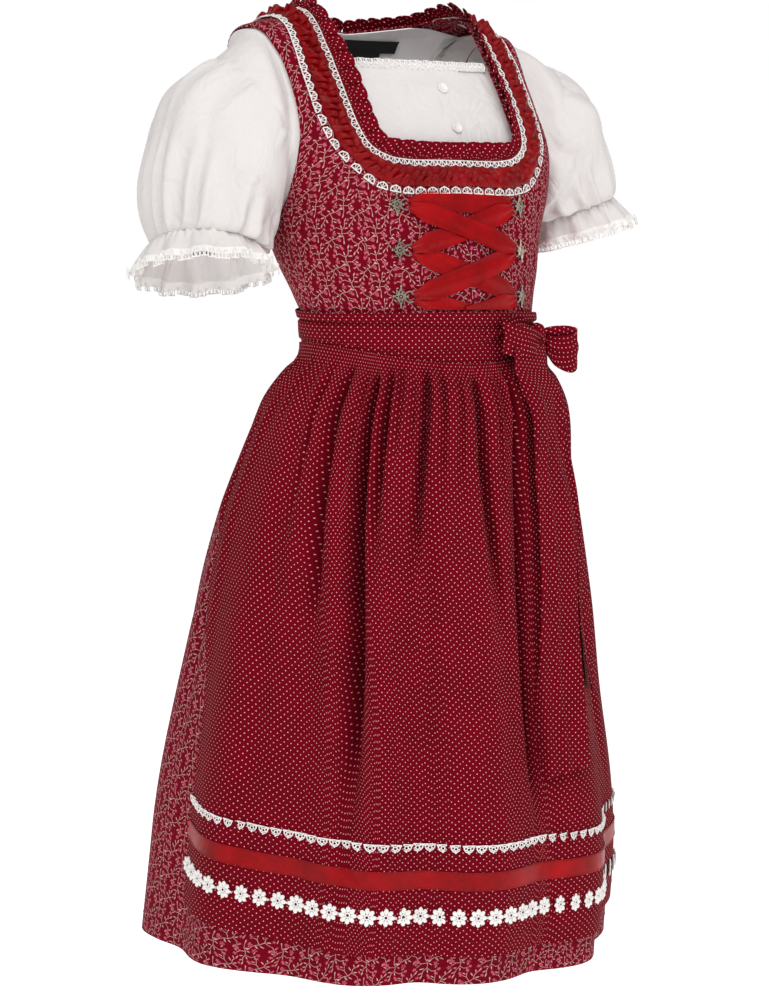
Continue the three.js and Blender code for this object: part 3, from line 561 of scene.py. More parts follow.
class Pile:
    """Collects points and faces into one mesh; its points are millimetres until it is set."""

    def __init__(self) -> None:
        """Starts empty."""
        self.points: list[Array] = []
        self.faces: Faces = []
        self.count = 0

    def add(self, points: Array, faces: Faces) -> None:
        """Adds a shape.

        Args:
            points: Its points.
            faces: Its faces, by number from 0.
        """
        self.points.append(points)
        self.faces += [tuple(index + self.count for index in face) for face in faces]
        self.count += len(points)

    def set_on_form(self, x: float, down: float, out: float) -> None:
        """Moves what lies flat about its middle, with z off the cloth, onto the front, in metres.

        Args:
            x: Where its middle goes.
            down: Way down of its middle.
            out: Distance of its middle off the form.
        """
        base = at_x(x, down, out)
        normal = unit(at_x(x, down, out + 10.0) - base)
        across = unit(np.cross([0, 0, 1], normal))
        axes = np.stack([across, np.cross(normal, across), normal])
        self.points = [leaned(points @ axes + base) for points in self.points]

    def mesh(self, name: str, scale: float = MM) -> Mesh:
        """The pile as a mesh, smooth where its faces meet softly.

        Args:
            name: Name of the mesh.
            scale: Factor on the points.

        Returns:
            The mesh.
        """
        mesh = bpy.data.meshes.new(name)
        mesh.from_pydata((np.concatenate(self.points) * scale).tolist(), [], self.faces)
        mesh.shade_smooth()
        mesh.set_sharp_from_angle(angle=MOTIF_EDGE)
        return mesh


def show(name: str, mesh: Mesh, material: Material, slot: str) -> Thing:
    """Makes an object of a mesh that rides on the set's body.

    Args:
        name: Name of the piece.
        mesh: Its mesh, already in its place.
        material: Its finish.
        slot: Material slot of the record; not used.

    Returns:
        The object.
    """
    thing = bpy.data.objects.new(name, mesh)
    bpy.context.scene.collection.objects.link(thing)
    if not mesh.materials:
        mesh.materials.append(material)
    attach(thing, "root")
    LOG.info("%s: %d faces", name, len(mesh.polygons))
    return thing


@dataclass
class Cloth:
    """Sheet of cloth as a thin closed wall over a grid.

    u runs across and v along the sheet, both from 0 to 1.
    """

    name: str
    place: Place
    columns: int
    rows: int
    outer: float
    thick: float = 0.9
    loop: bool = False
    turned: float = 0.0
    gathered: bool = False

    def grid(self, out: float) -> Array:
        """Points of the sheet's face that lies `out` off the form."""
        u, v = np.meshgrid(np.linspace(0, 1, self.columns + 1), np.linspace(0, 1, self.rows + 1))
        return leaned(self.place(u, v, np.full_like(u, out)))

    def quads(self, spots: Array, shift: int) -> Array:
        """Faces of both sides and of the edges.

        Args:
            spots: Number of each point of the outer side.
            shift: What is added for the inner side.

        Returns:
            Four numbers for each face.
        """
        a, b, c, d = spots[:-1, :-1], spots[:-1, 1:], spots[1:, 1:], spots[1:, :-1]
        top, low = spots[0], spots[-1]
        parts = [
            np.stack([a, b, c, d], -1),
            np.stack([a, d, c, b], -1) + shift,
            np.stack([top[:-1] + shift, top[1:] + shift, top[1:], top[:-1]], -1),
            np.stack([low[:-1], low[1:], low[1:] + shift, low[:-1] + shift], -1),
        ]
        if not self.loop:
            near, far = spots[:, 0], spots[:, -1]
            parts.append(np.stack([near[:-1], near[1:], near[1:] + shift, near[:-1] + shift], -1))
            parts.append(np.stack([far[:-1] + shift, far[1:] + shift, far[1:], far[:-1]], -1))
        return np.concatenate([part.reshape(-1, 4) for part in parts])

    def flat(self, skin: Array) -> Array:
        """Place of each point on the flat cloth, in metres, from the lengths along the grid's lines."""
        across = np.linalg.norm(np.diff(skin, axis=1), axis=2).cumsum(axis=1)
        across = np.pad(across, ((0, 0), (1, 0)))
        across -= across[:, self.columns // 2][:, None]
        if self.gathered:
            across = np.broadcast_to(across.mean(axis=0), across.shape)
        down = np.pad(np.linalg.norm(np.diff(skin, axis=0), axis=2).cumsum(axis=0), ((1, 0), (0, 0)))
        angle = self.turned * DEGREE
        x = across * math.cos(angle) - down * math.sin(angle)
        y = across * math.sin(angle) + down * math.cos(angle)
        return np.stack([x, -y], -1)

    def mesh(self, skin: Array, inside: Array) -> Mesh:
        """Closed wall between the sheet's two faces, with its flat place as UV map.

        Args:
            skin: Points of the outer face.
            inside: Points of the inner face.

        Returns:
            The mesh.
        """
        kept = slice(0, -1) if self.loop else slice(None)
        points = np.concatenate([side[:, kept].reshape(-1, 3) for side in (skin, inside)])
        count = len(points) // 2
        spots = np.arange(count).reshape(self.rows + 1, -1)
        if self.loop:
            spots = np.hstack([spots, spots[:, :1]])
        faces = self.quads(spots, count)
        corners = self.quads(np.arange(skin[..., 0].size).reshape(skin.shape[:2]), 0)
        a, b, c, d = (points[faces[:, i]] for i in range(4))
        volume = np.einsum("ij,ij->", a, np.cross(b, c)) + np.einsum("ij,ij->", a, np.cross(c, d))
        if volume < 0:
            faces, corners = faces[:, ::-1], corners[:, ::-1]
        mesh = bpy.data.meshes.new(self.name)
        mesh.from_pydata(points.tolist(), [], faces.tolist())
        flat = self.flat(skin).reshape(-1, 2)[corners.reshape(-1)]
        mesh.uv_layers.new(name=CLOTH_UV).data.foreach_set("uv", flat.astype(np.float32).ravel())
        mesh.shade_smooth()
        mesh.set_sharp_from_angle(angle=CLOTH_EDGE)
        return mesh

    def build(self, material: Material, slot: str, node: str = "") -> Thing:
        """Makes the sheet in place of its node and keeps its cut on the object.

        Args:
            material: Its finish.
            slot: Material slot of the record.
            node: The node that it replaces, if there is one.

        Returns:
            The object, with its cut's width, length and area as `cut`.
        """
        skin, inside = self.grid(self.outer), self.grid(self.outer - self.thick)
        thing = show(self.name, self.mesh(skin, inside), material, slot)
        thing["cut"] = self.cut(skin)
        if node:
            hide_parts(node)
        return thing

    def cut(self, skin: Array) -> list[float]:
        """Width, length and area of the flat cloth, in metres."""
        width = np.linalg.norm(np.diff(skin, axis=1), axis=2).sum(axis=1).max()
        length = np.linalg.norm(np.diff(skin, axis=0), axis=2).sum(axis=0).max()
        one = skin[1:, 1:] - skin[:-1, :-1]
        other = skin[1:, :-1] - skin[:-1, 1:]
        area = 0.5 * np.linalg.norm(np.cross(one, other), axis=2).sum()
        return [float(width), float(length), float(area)]


class Held(Enum):
    """Ways in which a sheet of cloth is held."""

    DRAPED = "draped"
    GATHERED = "gathered"
    HUNG = "hung"
    FOLDED = "folded"
    LAID = "laid"
    STRETCHED = "stretched"


def declare(
    thing: Thing,
    held: Held,
) -> None:
    """Removes the cut that Cloth kept on a sheet; the stated area that it works out is not kept.

    Args:
        thing: The sheet, as Cloth made it.
        held: How it is held; not used.
    """
    width, length, area = thing["cut"]
    del thing["cut"]
    width, length = max(width, 0.0101), max(length, 0.0101)
    stated = min(max(area, 0.31 * width * length), width * length)


def tube(path: Array, radius: Number, sides: int = 6, closed: bool = False) -> tuple[Array, Faces]:
    """Round thread or wire along a path.

    Args:
        path: Its points.
        radius: One radius, or one for each point.
        sides: Sides of its section.
        closed: True if the path joins its own start.

    Returns:
        Points and faces.
    """
    count = len(path)
    if closed:
        tangent = unit(np.roll(path, -1, axis=0) - np.roll(path, 1, axis=0))
    else:
        tangent = unit(np.gradient(path, axis=0))
    helper = np.eye(3)[np.argmin(np.abs(tangent).max(axis=0))]
    first = unit(np.cross(tangent, helper))
    second = np.cross(tangent, first)
    angles = np.linspace(0, 2 * math.pi, sides, endpoint=False)
    radii = np.broadcast_to(radius, (count,))[:, None, None]
    ring = np.cos(angles)[None, :, None] * first[:, None] + np.sin(angles)[None, :, None] * second[:, None]
    points = (path[:, None] + radii * ring).reshape(-1, 3)
    faces: Faces = []
    for i in range(count if closed else count - 1):
        start, end = i * sides, (i + 1) % count * sides
        for k in range(sides):
            after = (k + 1) % sides
            faces.append((start + k, start + after, end + after, end + k))
    if not closed:
        faces.append(tuple(range(sides))[::-1])
        faces.append(tuple((count - 1) * sides + k for k in range(sides)))
    return points, faces


def ball(centre: Sequence[float], radii: Sequence[float], around: int, rings: int) -> tuple[Array, Faces]:
    """Closed ball or pad.

    Args:
        centre: Its middle.
        radii: Its half sizes.
        around: Faces round it.
        rings: Faces from pole to pole.

    Returns:
        Points and faces.
    """
    points = [[0.0, 0.0, 1.0]]
    for j in range(1, rings):
        angle = math.pi * j / rings
        for i in range(around):
            spin = 2 * math.pi * i / around
            reach = math.sin(angle)
            points.append([reach * math.cos(spin), reach * math.sin(spin), math.cos(angle)])
    points.append([0.0, 0.0, -1.0])
    last = len(points) - 1
    faces: Faces = []
    for i in range(around):
        after = (i + 1) % around
        faces.append((0, 1 + i, 1 + after))
        base = 1 + (rings - 2) * around
        faces.append((base + after, base + i, last))
        for j in range(rings - 2):
            start = 1 + j * around
            faces.append((start + i, start + around + i, start + around + after, start + after))
    return np.array(points) * np.array(radii) + np.array(centre), faces


def arc(centre: Sequence[float], radius: float, start: float, end: float, steps: int) -> Array:
    """Flat arc, with its angles in degrees."""
    angle = np.linspace(start, end, steps) * DEGREE
    x = centre[0] + radius * np.cos(angle)
    y = centre[1] + radius * np.sin(angle)
    return np.stack([x, y, np.full_like(x, centre[2])], -1)


# ------------------------------------------------------------------ node trees
class Graph:
    """Short way to add the nodes of one tree and join them."""

    def __init__(self, tree: Tree) -> None:
        """Takes the tree that it fills."""
        self.tree = tree

    def add(self, kind: str, values: dict | None = None, **settings: object) -> Node:
        """Adds a node.

        Args:
            kind: The node's type name.
            values: Number or output for each input, by name or number.
            **settings: The node's own properties.

        Returns:
            The node.
        """
        node = self.tree.nodes.new(kind)
        for name, setting in settings.items():
            setattr(node, name, setting)
        for socket, value in (values or {}).items():
            self.join(value, node.inputs[socket])
        return node

    def join(self, value: object, socket: Socket) -> None:
        """Links an output to an input, or sets the input's number."""
        if isinstance(value, Socket):
            self.tree.links.new(value, socket)
        else:
            socket.default_value = value

    def math(self, operation: str, *values: object) -> Socket:
        """Number made by a Math node."""
        return self.add("ShaderNodeMath", dict(enumerate(values)), operation=operation).outputs[0]

    def vector(self, operation: str, *values: object) -> Socket:
        """Vector, or for a length its number, made by a Vector Math node."""
        node = self.add("ShaderNodeVectorMath", dict(enumerate(values)), operation=operation)
        return node.outputs["Value" if operation in ("LENGTH", "DOT_PRODUCT") else "Vector"]

    def scaled(self, vector: Socket, scale: object) -> Socket:
        """Vector times a number."""
        values = {0: vector, "Scale": scale}
        return self.add("ShaderNodeVectorMath", values, operation="SCALE").outputs[0]

    def mix(self, share: object, first: object, second: object) -> Socket:
        """Blend of two colours."""
        node = self.add("ShaderNodeMix", data_type="RGBA")
        self.join(share, node.inputs["Factor"])
        self.join(first, node.inputs[6])
        self.join(second, node.inputs[7])
        return node.outputs[2]

    def ramp(self, value: object, low: float, high: float, start: float = 0.0, end: float = 1.0) -> Socket:
        """Value from low to high spread over start to end, and held there."""
        inputs = {"Value": value, "From Min": low, "From Max": high, "To Min": start, "To Max": end}
        return self.add("ShaderNodeMapRange", inputs).outputs[0]


def new_group(name: str, inputs: dict[str, str], outputs: dict[str, str]) -> tuple[Graph, Node, Node]:
    """Starts a shader node group.

    Args:
        name: Its name.
        inputs: Socket type of each input.
        outputs: Socket type of each output.

    Returns:
        The graph, its input node and its output node.
    """
    tree = bpy.data.node_groups.new(name, "ShaderNodeTree")
    for label, kind in inputs.items():
        tree.interface.new_socket(label, in_out="INPUT", socket_type=kind)
    for label, kind in outputs.items():
        tree.interface.new_socket(label, in_out="OUTPUT", socket_type=kind)
    graph = Graph(tree)
    return graph, graph.add("NodeGroupInput"), graph.add("NodeGroupOutput")


FLOAT, VECTOR = "NodeSocketFloat", "NodeSocketVector"


def weave_group() -> Tree:
    """Plain weave: height of its threads and a slow unevenness of the cloth."""
    outputs = {"Height": FLOAT, "Unevenness": FLOAT}
    graph, given, result = new_group("plain weave", {"Cloth": VECTOR, "Thread": FLOAT}, outputs)
    scale = graph.math("DIVIDE", math.pi, given.outputs["Thread"])
    parts = graph.add("ShaderNodeSeparateXYZ", {0: graph.scaled(given.outputs["Cloth"], scale)})
    across = graph.math("SINE", parts.outputs[0])
    along = graph.math("SINE", parts.outputs[1])
    height = graph.math("MULTIPLY_ADD", graph.math("MULTIPLY", across, along), 0.5, 0.5)
    graph.join(height, result.inputs["Height"])
    noise = {"Vector": given.outputs["Cloth"], "Scale": 28.0, "Detail": 5.0, "Roughness": 0.6}
    graph.join(graph.add("ShaderNodeTexNoise", noise).outputs[0], result.inputs["Unevenness"])
    return graph.tree


def crumple_group() -> Tree:
    """Fine soft wrinkles of cloth that has been worn and packed."""
    graph, given, result = new_group("crumple", {"Place": VECTOR, "Size": FLOAT}, {"Height": FLOAT})
    scale = graph.math("DIVIDE", 1.0, given.outputs["Size"])
    first = {"Vector": given.outputs["Place"], "Scale": scale, "Detail": 3.0, "Distortion": 0.9}
    noise = graph.add("ShaderNodeTexNoise", first).outputs[0]
    ridge = graph.math("ABSOLUTE", graph.math("SUBTRACT", noise, 0.5))
    graph.join(graph.ramp(ridge, 0.0, 0.16), result.inputs["Height"])
    return graph.tree


def pin_dot_group() -> Tree:
    """Staggered pin dots: each row is set half a pitch beside the one before."""
    inputs = {"Cloth": VECTOR, "Pitch": FLOAT, "Radius": FLOAT}
    graph, given, result = new_group("pin dots", inputs, {"Dots": FLOAT})
    side = graph.math("MULTIPLY", given.outputs["Pitch"], math.sqrt(0.5))
    mapping = {"Vector": given.outputs["Cloth"], "Rotation": (0, 0, math.pi / 4)}
    turned = graph.add("ShaderNodeMapping", mapping).outputs[0]
    scaled = graph.scaled(turned, graph.math("DIVIDE", 1.0, side))
    local = graph.vector("SUBTRACT", graph.vector("FRACTION", scaled), (0.5, 0.5, 0.0))
    flat = graph.vector("MULTIPLY", local, (1.0, 1.0, 0.0))
    radius = graph.math("DIVIDE", given.outputs["Radius"], side)
    share = graph.math("DIVIDE", graph.vector("LENGTH", flat), radius)
    graph.join(graph.ramp(share, 0.75, 1.25, 1.0, 0.0), result.inputs["Dots"])
    return graph.tree


@dataclass(frozen=True)
class Leaf:
    """Lens-shaped leaf of the print: middle, direction in degrees, half length and half width."""

    x: float
    y: float
    angle: float
    half_length: float
    half_width: float


@dataclass(frozen=True)
class Blossom:
    """Five-petalled blossom of the print; an open one is only an outline with a heart."""

    x: float
    y: float
    angle: float
    radius: float
    open: bool = False


@dataclass(frozen=True)
class Stem:
    """Straight piece of stem between two points of the print."""

    start: tuple[float, float]
    end: tuple[float, float]


@dataclass(frozen=True)
class Sprig:
    """Sprig of the print, in millimetres about its own middle."""

    stems: tuple[Stem, ...] = (
        Stem((-8.6, -7.2), (-5.0, -4.6)),
        Stem((-5.0, -4.6), (-0.8, -3.6)),
        Stem((-0.8, -3.6), (2.6, -0.6)),
        Stem((2.6, -0.6), (3.6, 3.4)),
        Stem((3.6, 3.4), (6.6, 6.6)),
        Stem((-0.8, -3.6), (-3.6, 0.8)),
        Stem((-3.6, 0.8), (-7.4, 2.2)),
        Stem((-3.6, 0.8), (-3.4, 5.2)),
        Stem((2.6, -0.6), (7.6, -3.2)),
        Stem((7.6, -3.2), (8.6, -7.2)),
    )
    leaves: tuple[Leaf, ...] = (
        Leaf(-9.8, -8.4, 40, 2.2, 0.65),
        Leaf(-2.9, -6.3, -55, 2.0, 0.7),
        Leaf(0.8, -5.6, -30, 1.7, 0.6),
        Leaf(5.6, 0.6, 22, 1.9, 0.65),
        Leaf(1.2, 3.6, 120, 1.9, 0.65),
        Leaf(8.2, 8.4, 60, 2.1, 0.65),
        Leaf(4.6, 7.2, 100, 1.6, 0.55),
        Leaf(-6.2, 4.2, 160, 1.8, 0.6),
        Leaf(10.4, -5.2, 20, 1.8, 0.6),
        Leaf(5.2, -8.6, 70, 1.5, 0.55),
    )
    blossoms: tuple[Blossom, ...] = (
        Blossom(-9.4, 2.8, 10, 2.3),
        Blossom(-3.2, 7.6, 50, 2.5),
        Blossom(9.0, -9.4, 30, 2.4),
        Blossom(-4.4, -10.4, 0, 2.9, True),
        Blossom(9.6, 2.4, 70, 2.0),
        Blossom(-9.8, -2.6, 40, 1.5),
    )


def seen_from(graph: Graph, place: Socket, mark: Leaf | Blossom, half_x: float, half_y: float) -> Socket:
    """Place as a leaf or a blossom sees it.

    Args:
        graph: Tree that gets the nodes.
        place: Place on the sprig.
        mark: The leaf or blossom.
        half_x: What becomes 1 along it.
        half_y: What becomes 1 across it.

    Returns:
        The place from its middle.
    """
    mapping = {
        "Vector": place,
        "Location": (mark.x, mark.y, 0),
        "Rotation": (0, 0, mark.angle * DEGREE),
        "Scale": (half_x, half_y, 1),
    }
    return graph.add("ShaderNodeMapping", mapping, vector_type="TEXTURE").outputs[0]


def blossom_group() -> Tree:
    """Five petals about the middle: distance that is 1 at their edge."""
    graph, given, result = new_group("five petals", {"Place": VECTOR}, {"Distance": FLOAT})
    parts = graph.add("ShaderNodeSeparateXYZ", {0: given.outputs["Place"]})
    angle = graph.math("ARCTAN2", parts.outputs[1], parts.outputs[0])
    petals = graph.math("COSINE", graph.math("MULTIPLY", angle, 5.0))
    edge = graph.math("MULTIPLY_ADD", petals, 0.27, 0.73)
    distance = graph.math("DIVIDE", graph.vector("LENGTH", given.outputs["Place"]), edge)
    graph.join(distance, result.inputs["Distance"])
    return graph.tree


def stem_group() -> Tree:
    """Distance from a straight piece of stem."""
    inputs = {"Place": VECTOR, "Start": VECTOR, "Way": VECTOR}
    graph, given, result = new_group("stem", inputs, {"Distance": FLOAT})
    off = graph.vector("SUBTRACT", given.outputs["Place"], given.outputs["Start"])
    way = given.outputs["Way"]
    along = graph.vector("DOT_PRODUCT", off, way)
    share = graph.math("DIVIDE", along, graph.vector("DOT_PRODUCT", way, way))
    nearest = graph.scaled(way, graph.add("ShaderNodeClamp", {0: share}).outputs[0])
    graph.join(graph.vector("LENGTH", graph.vector("SUBTRACT", off, nearest)), result.inputs["Distance"])
    return graph.tree


def sprig_group(sprig: Sprig) -> Tree:
    """Masks of one sprig's leaves and blossoms.

    Args:
        sprig: What grows on it.

    Returns:
        The group, with its place in millimetres.
    """
    graph, given, result = new_group("sprig", {"Place": VECTOR}, {"Leaves": FLOAT, "Blossoms": FLOAT})
    place = given.outputs["Place"]
    petals, stems = blossom_group(), stem_group()
    pale = 5.0
    for leaf in sprig.leaves:
        local = seen_from(graph, place, leaf, leaf.half_length * 0.9, leaf.half_width * 0.8)
        pale = graph.math("MINIMUM", pale, graph.vector("LENGTH", local))
    line = 5.0
    for stem in sprig.stems:
        way = (stem.end[0] - stem.start[0], stem.end[1] - stem.start[1], 0)
        inputs = {"Place": place, "Start": (*stem.start, 0), "Way": way}
        node = graph.add("ShaderNodeGroup", inputs, node_tree=stems)
        line = graph.math("MINIMUM", line, node.outputs[0])
    pale = graph.math("MINIMUM", pale, graph.math("DIVIDE", line, 0.22))
    rosy = 5.0
    for blossom in sprig.blossoms:
        local = seen_from(graph, place, blossom, blossom.radius * 0.78, blossom.radius * 0.78)
        distance = graph.add("ShaderNodeGroup", {"Place": local}, node_tree=petals).outputs[0]
        if blossom.open:
            off_rim = graph.math("ABSOLUTE", graph.math("SUBTRACT", distance, 0.85))
            ring = graph.math("MULTIPLY", off_rim, 4.5)
            distance = graph.math("MINIMUM", ring, graph.math("MULTIPLY", distance, 2.8))
        rosy = graph.math("MINIMUM", rosy, distance)
    graph.join(graph.ramp(pale, 0.8, 1.25, 1.0, 0.0), result.inputs["Leaves"])
    graph.join(graph.ramp(rosy, 0.85, 1.15, 1.0, 0.0), result.inputs["Blossoms"])
    return graph.tree


def vine_group(repeat: tuple[float, float], size: float, wander: float = 0.004) -> Tree:
    """Print of sprigs in two crossed rows, the second of them mirrored.

    Args:
        repeat: Width and height that each sprig is drawn in.
        size: Printed size of a sprig's millimetre.
        wander: How far the print strays from its lattice, in metres.

    Returns:
        The group; its input is the place on the cloth in metres.
    """
    graph, given, result = new_group("vine print", {"Cloth": VECTOR}, {"Leaves": FLOAT, "Blossoms": FLOAT})
    sprigs = sprig_group(Sprig())
    leaves, blossoms = 0.0, 0.0
    noise = graph.add("ShaderNodeTexNoise", {"Vector": given.outputs["Cloth"], "Scale": 38.0, "Detail": 0.0})
    stray = graph.vector("SUBTRACT", noise.outputs["Color"], (0.5, 0.5, 0.5))
    strayed = graph.vector("ADD", given.outputs["Cloth"], graph.scaled(stray, 2 * wander))
    for shift, flip in ((0.0, 1.0), (0.5, -1.0)):
        scale = (1000 / repeat[0] / size, 1000 / repeat[1] / size, 1)
        mapping = {"Vector": strayed, "Scale": scale, "Location": (shift, shift, 0)}
        lattice = graph.add("ShaderNodeMapping", mapping).outputs[0]
        local = graph.vector("SUBTRACT", graph.vector("FRACTION", lattice), (0.5, 0.5, 0.0))
        place = graph.vector("MULTIPLY", local, (repeat[0] * flip, repeat[1], 0.0))
        turned = {"Vector": place, "Rotation": (0, 0, 1.1 - 1.1 * flip)}
        place = graph.add("ShaderNodeMapping", turned).outputs[0]
        node = graph.add("ShaderNodeGroup", {"Place": place}, node_tree=sprigs)
        leaves = graph.math("MAXIMUM", leaves, node.outputs["Leaves"])
        blossoms = graph.math("MAXIMUM", blossoms, node.outputs["Blossoms"])
    graph.join(leaves, result.inputs["Leaves"])
    graph.join(blossoms, result.inputs["Blossoms"])
    return graph.tree


Colour = tuple[float, float, float, float]


def shade(red: float, green: float, blue: float) -> Colour:
    """Linear colour of screen values from 0 to 255."""
    parts = (red / 255, green / 255, blue / 255)
    linear = [part / 12.92 if part <= 0.04045 else ((part + 0.055) / 1.055) ** 2.4 for part in parts]
    return (*linear, 1.0)


@dataclass(frozen=True)
class Finish:
    """Woven or smooth finish; its subclasses add their print."""

    name: str
    colour: Colour
    roughness: float = 0.85
    thread: float = 0.00045
    weave: float = 0.12
    crumple: float = 0.0
    crumple_size: float = 0.03
    metallic: float = 0.0
    coat: float = 0.0
    specular: float = 0.3
    uneven: float = 0.12
    on_cloth: bool = True

    def painted(self, graph: Graph, cloth: Socket, uneven: Socket) -> Socket:
        """Colour over the surface, lighter and darker by turns with the slow unevenness: random mottle on
        most finishes, painted sheen on the satin.

        Args:
            graph: The material's tree.
            cloth: Place on the cloth; not used by this plain finish.
            uneven: Slow unevenness from 0 to 1.

        Returns:
            The colour.
        """
        dark = tuple(part * (1 - self.uneven) for part in self.colour[:3]) + (1.0,)
        light = tuple(min(1.0, part * (1 + self.uneven)) for part in self.colour[:3]) + (1.0,)
        return graph.mix(graph.ramp(uneven, 0.3, 0.7), dark, light)

    def made(self, kit: "Wardrobe") -> Material:
        """Makes the material.

        Args:
            kit: Node groups that the finishes share.

        Returns:
            The material.
        """
        material = bpy.data.materials.new(self.name)
        material.use_nodes = True
        graph = Graph(material.node_tree)
        shader = material.node_tree.nodes["Principled BSDF"]
        if self.on_cloth:
            cloth = graph.add("ShaderNodeUVMap", uv_map=CLOTH_UV).outputs[0]
        else:
            cloth = graph.add("ShaderNodeTexCoord").outputs["Object"]
        weave = graph.add("ShaderNodeGroup", {"Cloth": cloth, "Thread": self.thread}, node_tree=kit.weave)
        colour = self.painted(graph, cloth, weave.outputs["Unevenness"])
        graph.join(colour, shader.inputs["Base Color"])
        rougher = min(1.0, self.roughness * 1.08)
        rough = graph.ramp(weave.outputs["Unevenness"], 0.2, 0.8, self.roughness * 0.92, rougher)
        graph.join(rough, shader.inputs["Roughness"])
        bump = {"Strength": self.weave, "Distance": 0.0003, "Height": weave.outputs["Height"]}
        normal = graph.add("ShaderNodeBump", bump).outputs[0]
        if self.crumple:
            place = graph.add("ShaderNodeTexCoord").outputs["Object"]
            sizes = {"Place": place, "Size": self.crumple_size}
            soft = graph.add("ShaderNodeGroup", sizes, node_tree=kit.crumple).outputs[0]
            wrinkles = {"Strength": self.crumple, "Distance": 0.002, "Height": soft, "Normal": normal}
            normal = graph.add("ShaderNodeBump", wrinkles).outputs[0]
        graph.join(normal, shader.inputs["Normal"])
        self.finish(shader)
        return material

    def finish(self, shader: Node) -> None:
        """Sets what is the same all over the surface."""
        shader.inputs["Metallic"].default_value = self.metallic
        shader.inputs["Specular IOR Level"].default_value = self.specular
        shader.inputs["Coat Weight"].default_value = self.coat
        shader.inputs["Coat Roughness"].default_value = 0.2


@dataclass(frozen=True)
class DottedCotton(Finish):
    """Wine-red cotton with pin dots."""

    dot: Colour = shade(248, 184, 178)
    pitch: float = 0.0056
    radius: float = 0.00043

    def painted(self, graph: Graph, cloth: Socket, uneven: Socket) -> Socket:
        """Ground with its dots; see Finish.painted."""
        ground = super().painted(graph, cloth, uneven)
        sizes = {"Cloth": cloth, "Pitch": self.pitch, "Radius": self.radius}
        dots = graph.add("ShaderNodeGroup", sizes, node_tree=pin_dot_group())
        return graph.mix(dots.outputs[0], ground, self.dot)


@dataclass(frozen=True)
class FloralCotton(Finish):
    """Crimson cotton with vines, pale leaves and rosy blossoms."""

    leaf: Colour = shade(206, 160, 158)
    blossom: Colour = shade(198, 92, 116)
    repeat: tuple[float, float] = (29.0, 28.0)
    size: float = 0.8

    def painted(self, graph: Graph, cloth: Socket, uneven: Socket) -> Socket:
        """Ground with its vines; see Finish.painted."""
        ground = super().painted(graph, cloth, uneven)
        group = vine_group(self.repeat, self.size)
        vine = graph.add("ShaderNodeGroup", {"Cloth": cloth}, node_tree=group)
        with_leaves = graph.mix(vine.outputs["Leaves"], ground, self.leaf)
        return graph.mix(vine.outputs["Blossoms"], with_leaves, self.blossom)


class Wardrobe:
    """Every finish of the set, made once."""

    def __init__(self) -> None:
        """Makes the shared node groups and the materials."""
        self.weave = weave_group()
        self.crumple = crumple_group()
        dyed = {"roughness": 0.9, "specular": 0.08}
        print_ground = shade(112, 2, 22)
        floral = FloralCotton("floral_cotton", print_ground, crumple=0.16, crumple_size=0.05, **dyed)
        self.floral = floral.made(self)
        wine = shade(110, 0, 20)
        dotted = DottedCotton("dotted_cotton", wine, crumple=0.14, crumple_size=0.06, **dyed)
        self.dotted = dotted.made(self)
        white = {"roughness": 0.9, "specular": 0.1, "uneven": 0.02}
        cotton = Finish("white_cotton", shade(224, 219, 217), crumple=0.4, crumple_size=0.035, **white)
        self.cotton = cotton.made(self)
        # The lining is a brighter copy of the white cotton: painted light for the shaded inside of the back
        # neck.
        self.lining = Finish("lit_lining_cotton", shade(252, 250, 250), crumple=0.3, **white).made(self)
        # The satin's strong unevenness is painted sheen: its lighter and darker streaks stand in for the
        # gloss.
        satin = Finish(
            "red_satin",
            shade(148, 2, 8),
            roughness=0.36,
            weave=0.02,
            crumple=0.12,
            specular=0.14,
            uneven=0.35,
        )
        self.satin = satin.made(self)
        # The ruche's satin is a darker copy of the red satin: painted shade for the ruche's deep creases.
        self.shaded_ruched = replace(satin, name="ruched_satin", colour=shade(130, 2, 8)).made(self)
        self.black = Finish("black_label", shade(28, 32, 30), 0.7, weave=0.3, thread=0.0006).made(self)
        solid = {"on_cloth": False}
        lace = Finish("white_lace", shade(242, 239, 236), thread=0.0007, weave=0.5, uneven=0.04, **solid)
        self.lace = lace.made(self)
        metal = {"metallic": 1.0, "on_cloth": False}
        silver = Finish("silver_metal", shade(172, 158, 142), 0.34, weave=0.1, uneven=0.3, **metal)
        self.silver = silver.made(self)
        patina = Finish("dark_silver", shade(44, 41, 38), 0.5, weave=0.4, uneven=0.4, **metal)
        self.patina = patina.made(self)
        pearl = Finish("pearl_button", shade(236, 227, 228), 0.25, coat=0.6, weave=0.0, uneven=0.06, **solid)
        self.pearl = pearl.made(self)
        self.stitch = Finish("red_stitch", shade(120, 8, 26), 0.7, weave=0.2, **solid).made(self)


